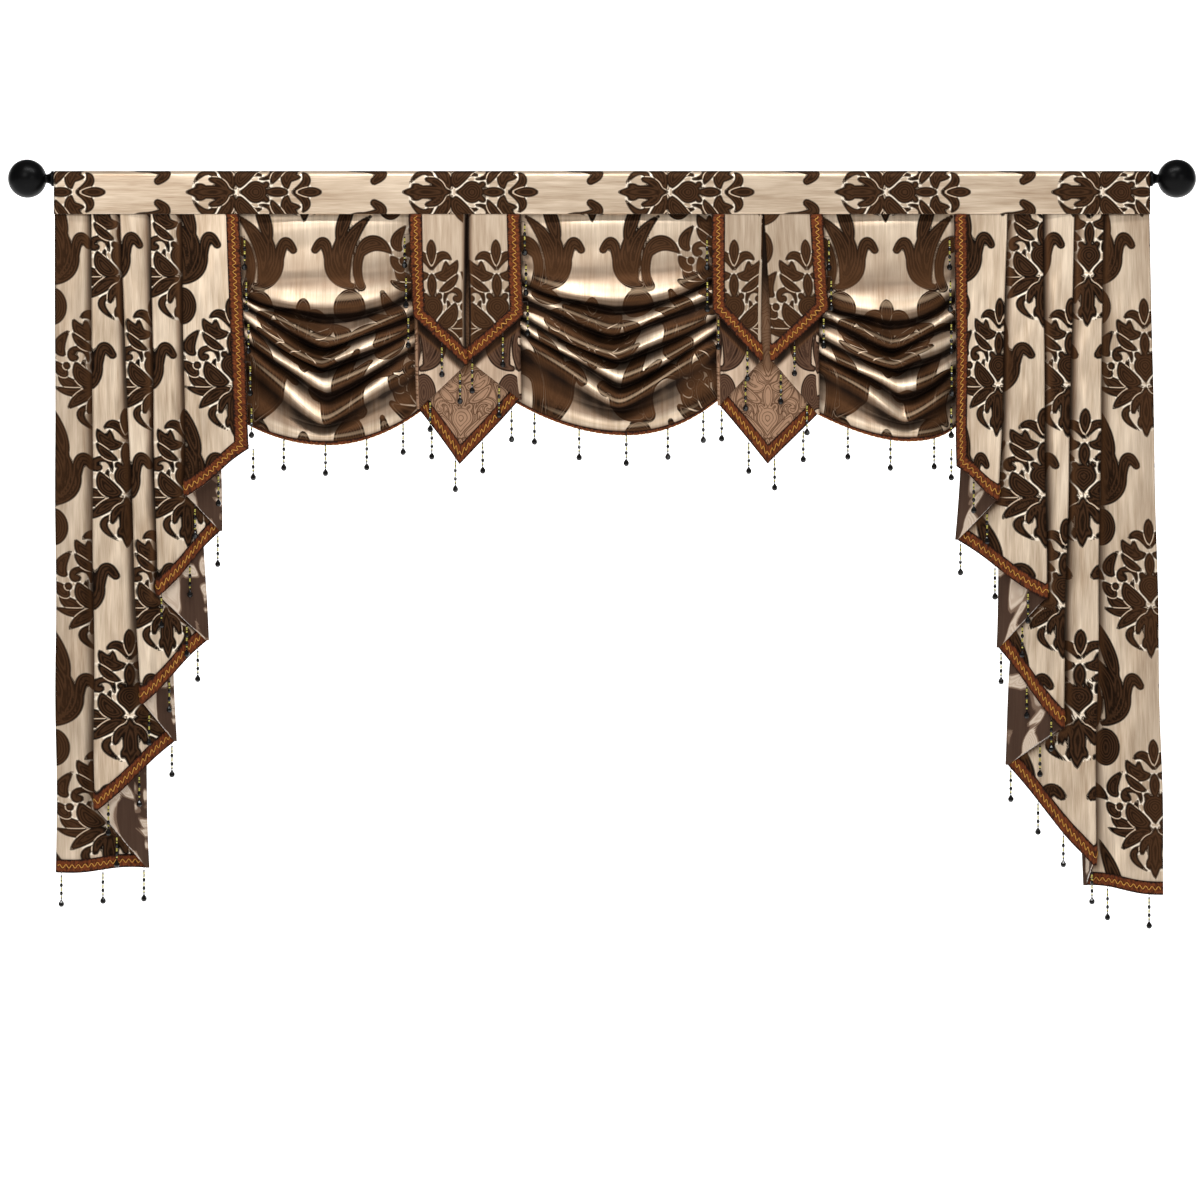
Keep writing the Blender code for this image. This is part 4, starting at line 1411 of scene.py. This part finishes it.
strung_tree = growth(
    "beads on a thread",
    [("Geometry", "Geometry"), ("Bead", "Object"), ("Finish", "Material")],
    build_strung,
)


def join(name, pieces):
    """One object made of several pieces, with their materials."""
    with bpy.context.temp_override(active_object=pieces[0], selected_editable_objects=pieces):
        bpy.ops.object.join()
    pieces[0].name = name
    pieces[0].data.name = name
    return pieces[0]


bead_patterns = []
for bead_name, profile, sides, bead_finish, drops in STRUNG:
    pattern = show(bead_name, turned(bead_name, profile, sides))
    bead_patterns.append((pattern, bead_finish, drops))


def strands(name, hung):
    """Threads and beads for (root in the braid, place the strand hangs from) pairs."""
    chains = [(root, hang, hang - np.array((0.0, 0.0, THREAD_DROP))) for root, hang in hung]
    threads = lines(name + "_threads", chains)
    made = [grow(threads, cord_tree, {"Radius": THREAD_RADIUS, "Sides": 4, "Finish": thread_wax})]
    for pattern, bead_finish, drops in bead_patterns:
        places = [hang - np.array((0.0, 0.0, drop)) for _, hang in hung for drop in drops]
        points = lines(name + "_" + pattern.name, [[place] for place in places])
        beads = grow(points, strung_tree, {"Bead": pattern, "Finish": bead_finish})
        beads.data.shade_flat()
        made.append(beads)
    return made


def trim(name, braid, hung):
    made = join("trim_" + name + "_braid", [braid.strip(), braid.zigzag()] + strands("trim_" + name, hung))
    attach(made, "root")
    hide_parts("trim_" + name)
    return made


for name, swag in swags.items():
    hung = []
    braid = swag_braid(name, swag)
    for u in SWAG_STRANDS[name]:
        low = swag.point(np.array(u), np.array(6.0))
        hung.append((low, low - np.array((0.0, 0.0, SWAG_STRAND_DROP))))
    made = trim(name, braid, hung)
    cloth = swag_cloths[name]

for name, panels in pleated.items():
    braid = pleated_braid(name, panels)
    hung = []
    wanted = STRAND_SPACING / 2
    travelled = 0.0
    for (here, inner, _), (after, _, kind) in zip(braid.pairs, braid.pairs[1:]):
        outer_step = panels.point(after[0], after[1]) - panels.point(here[0], here[1])
        travelled += math.hypot(outer_step[0], outer_step[2])
        if travelled < wanted or kind == "fold":
            continue
        face = panels.face(*after)
        at = panels.point(*after) + face * BRAID_LIFT
        inward = panels.point(int(inner[0]), inner[1]) - panels.point(*here)
        inward /= max(np.linalg.norm(inward), 0.001)
        if kind == "edge":
            outward = math.copysign(STRAND_OUTWARD, -inward[0])
            hang = at + np.array((outward, -STRAND_FORWARD / 2, 0.0))
        elif face[1] < 0.0:
            hang = at + np.array((0.0, -STRAND_FORWARD, 0.0))
        else:
            hang = at + np.array((0.0, -RETURN_HANG[panels.kind], 0.0))
        hung.append((at + inward * STRAND_INSET, hang))
        wanted = travelled + STRAND_SPACING
    made = trim(name, braid, hung)
    cloth = pleated_cloths[name]

for pattern, _, _ in bead_patterns:
    bpy.data.objects.remove(pattern, do_unlink=True)


# ------------------------------------------------------------------ stage
# A pale seamless floor and wall, soft window light from the left and above, and the camera.

FRAME_WIDTH = 2.19
CAMERA_BACK = 7.0
CAMERA_X = -0.0037
CAMERA_Z = -0.769

camera_data = bpy.data.cameras.new("camera")
camera_data.sensor_width = 36.0
camera_data.lens = 36.0 * CAMERA_BACK / FRAME_WIDTH
camera_data.clip_end = 60.0
camera = bpy.data.objects.new("camera", camera_data)
camera.location = (CAMERA_X, -CAMERA_BACK, CAMERA_Z)
camera.rotation_euler = (math.pi / 2, 0.0, 0.0)
bpy.context.scene.collection.objects.link(camera)
bpy.context.scene.camera = camera

backdrop_mesh = bpy.data.meshes.new("backdrop")
FLOOR_Z = -2.15
FLOOR_FRONT_Y = -16.0
WALL_Y = 8.5
WALL_TOP_Z = 5.0
WALL_SIDE_X = 12.0
SWEEP = 1.6
sweep = [(FLOOR_FRONT_Y, FLOOR_Z), (WALL_Y - SWEEP, FLOOR_Z)]
for step in range(1, 13):
    angle = math.pi / 2 * step / 12
    sweep.append((WALL_Y - SWEEP + SWEEP * math.sin(angle), FLOOR_Z + SWEEP * (1 - math.cos(angle))))
sweep.append((WALL_Y, WALL_TOP_Z))
backdrop_places = [(x, y, z) for y, z in sweep for x in (-WALL_SIDE_X, WALL_SIDE_X)]
backdrop_faces = [(2 * k, 2 * k + 1, 2 * k + 3, 2 * k + 2) for k in range(len(sweep) - 1)]
backdrop_mesh.from_pydata(backdrop_places, [], backdrop_faces)
backdrop_mesh.shade_smooth()
paper = finish(
    "paper",
    Base_Color=srgb(250, 250, 250),
    Roughness=0.9,
    Emission_Color=srgb(255, 255, 255),
    Emission_Strength=1.0,
)[0]
backdrop = show("backdrop", backdrop_mesh, paper)


def soft_light(name, place, aim, width, height, power):
    lamp = bpy.data.lights.new(name, "AREA")
    lamp.shape = "RECTANGLE"
    lamp.size = width
    lamp.size_y = height
    lamp.energy = power
    made = bpy.data.objects.new(name, lamp)
    made.location = place
    made.rotation_euler = (Vector(aim) - Vector(place)).to_track_quat("-Z", "Y").to_euler()
    bpy.context.scene.collection.objects.link(made)


soft_light("key", (-1.6, -4.6, 1.6), (0.0, 0.0, -0.5), 1.8, 1.8, 52.0)
soft_light("fill", (2.6, -4.6, 0.4), (0.0, 0.0, -0.6), 1.8, 1.8, 26.0)
soft_light("top", (0.0, -1.6, 2.2), (0.0, 0.0, -0.3), 2.8, 0.4, 82.0)
world = bpy.data.worlds.new("studio")
world.use_nodes = True
world.node_tree.nodes["Background"].inputs["Color"].default_value = (1.0, 1.0, 1.0, 1.0)
world.node_tree.nodes["Background"].inputs["Strength"].default_value = 0.16
bpy.context.scene.world = world
bpy.context.scene.view_settings.view_transform = "Standard"
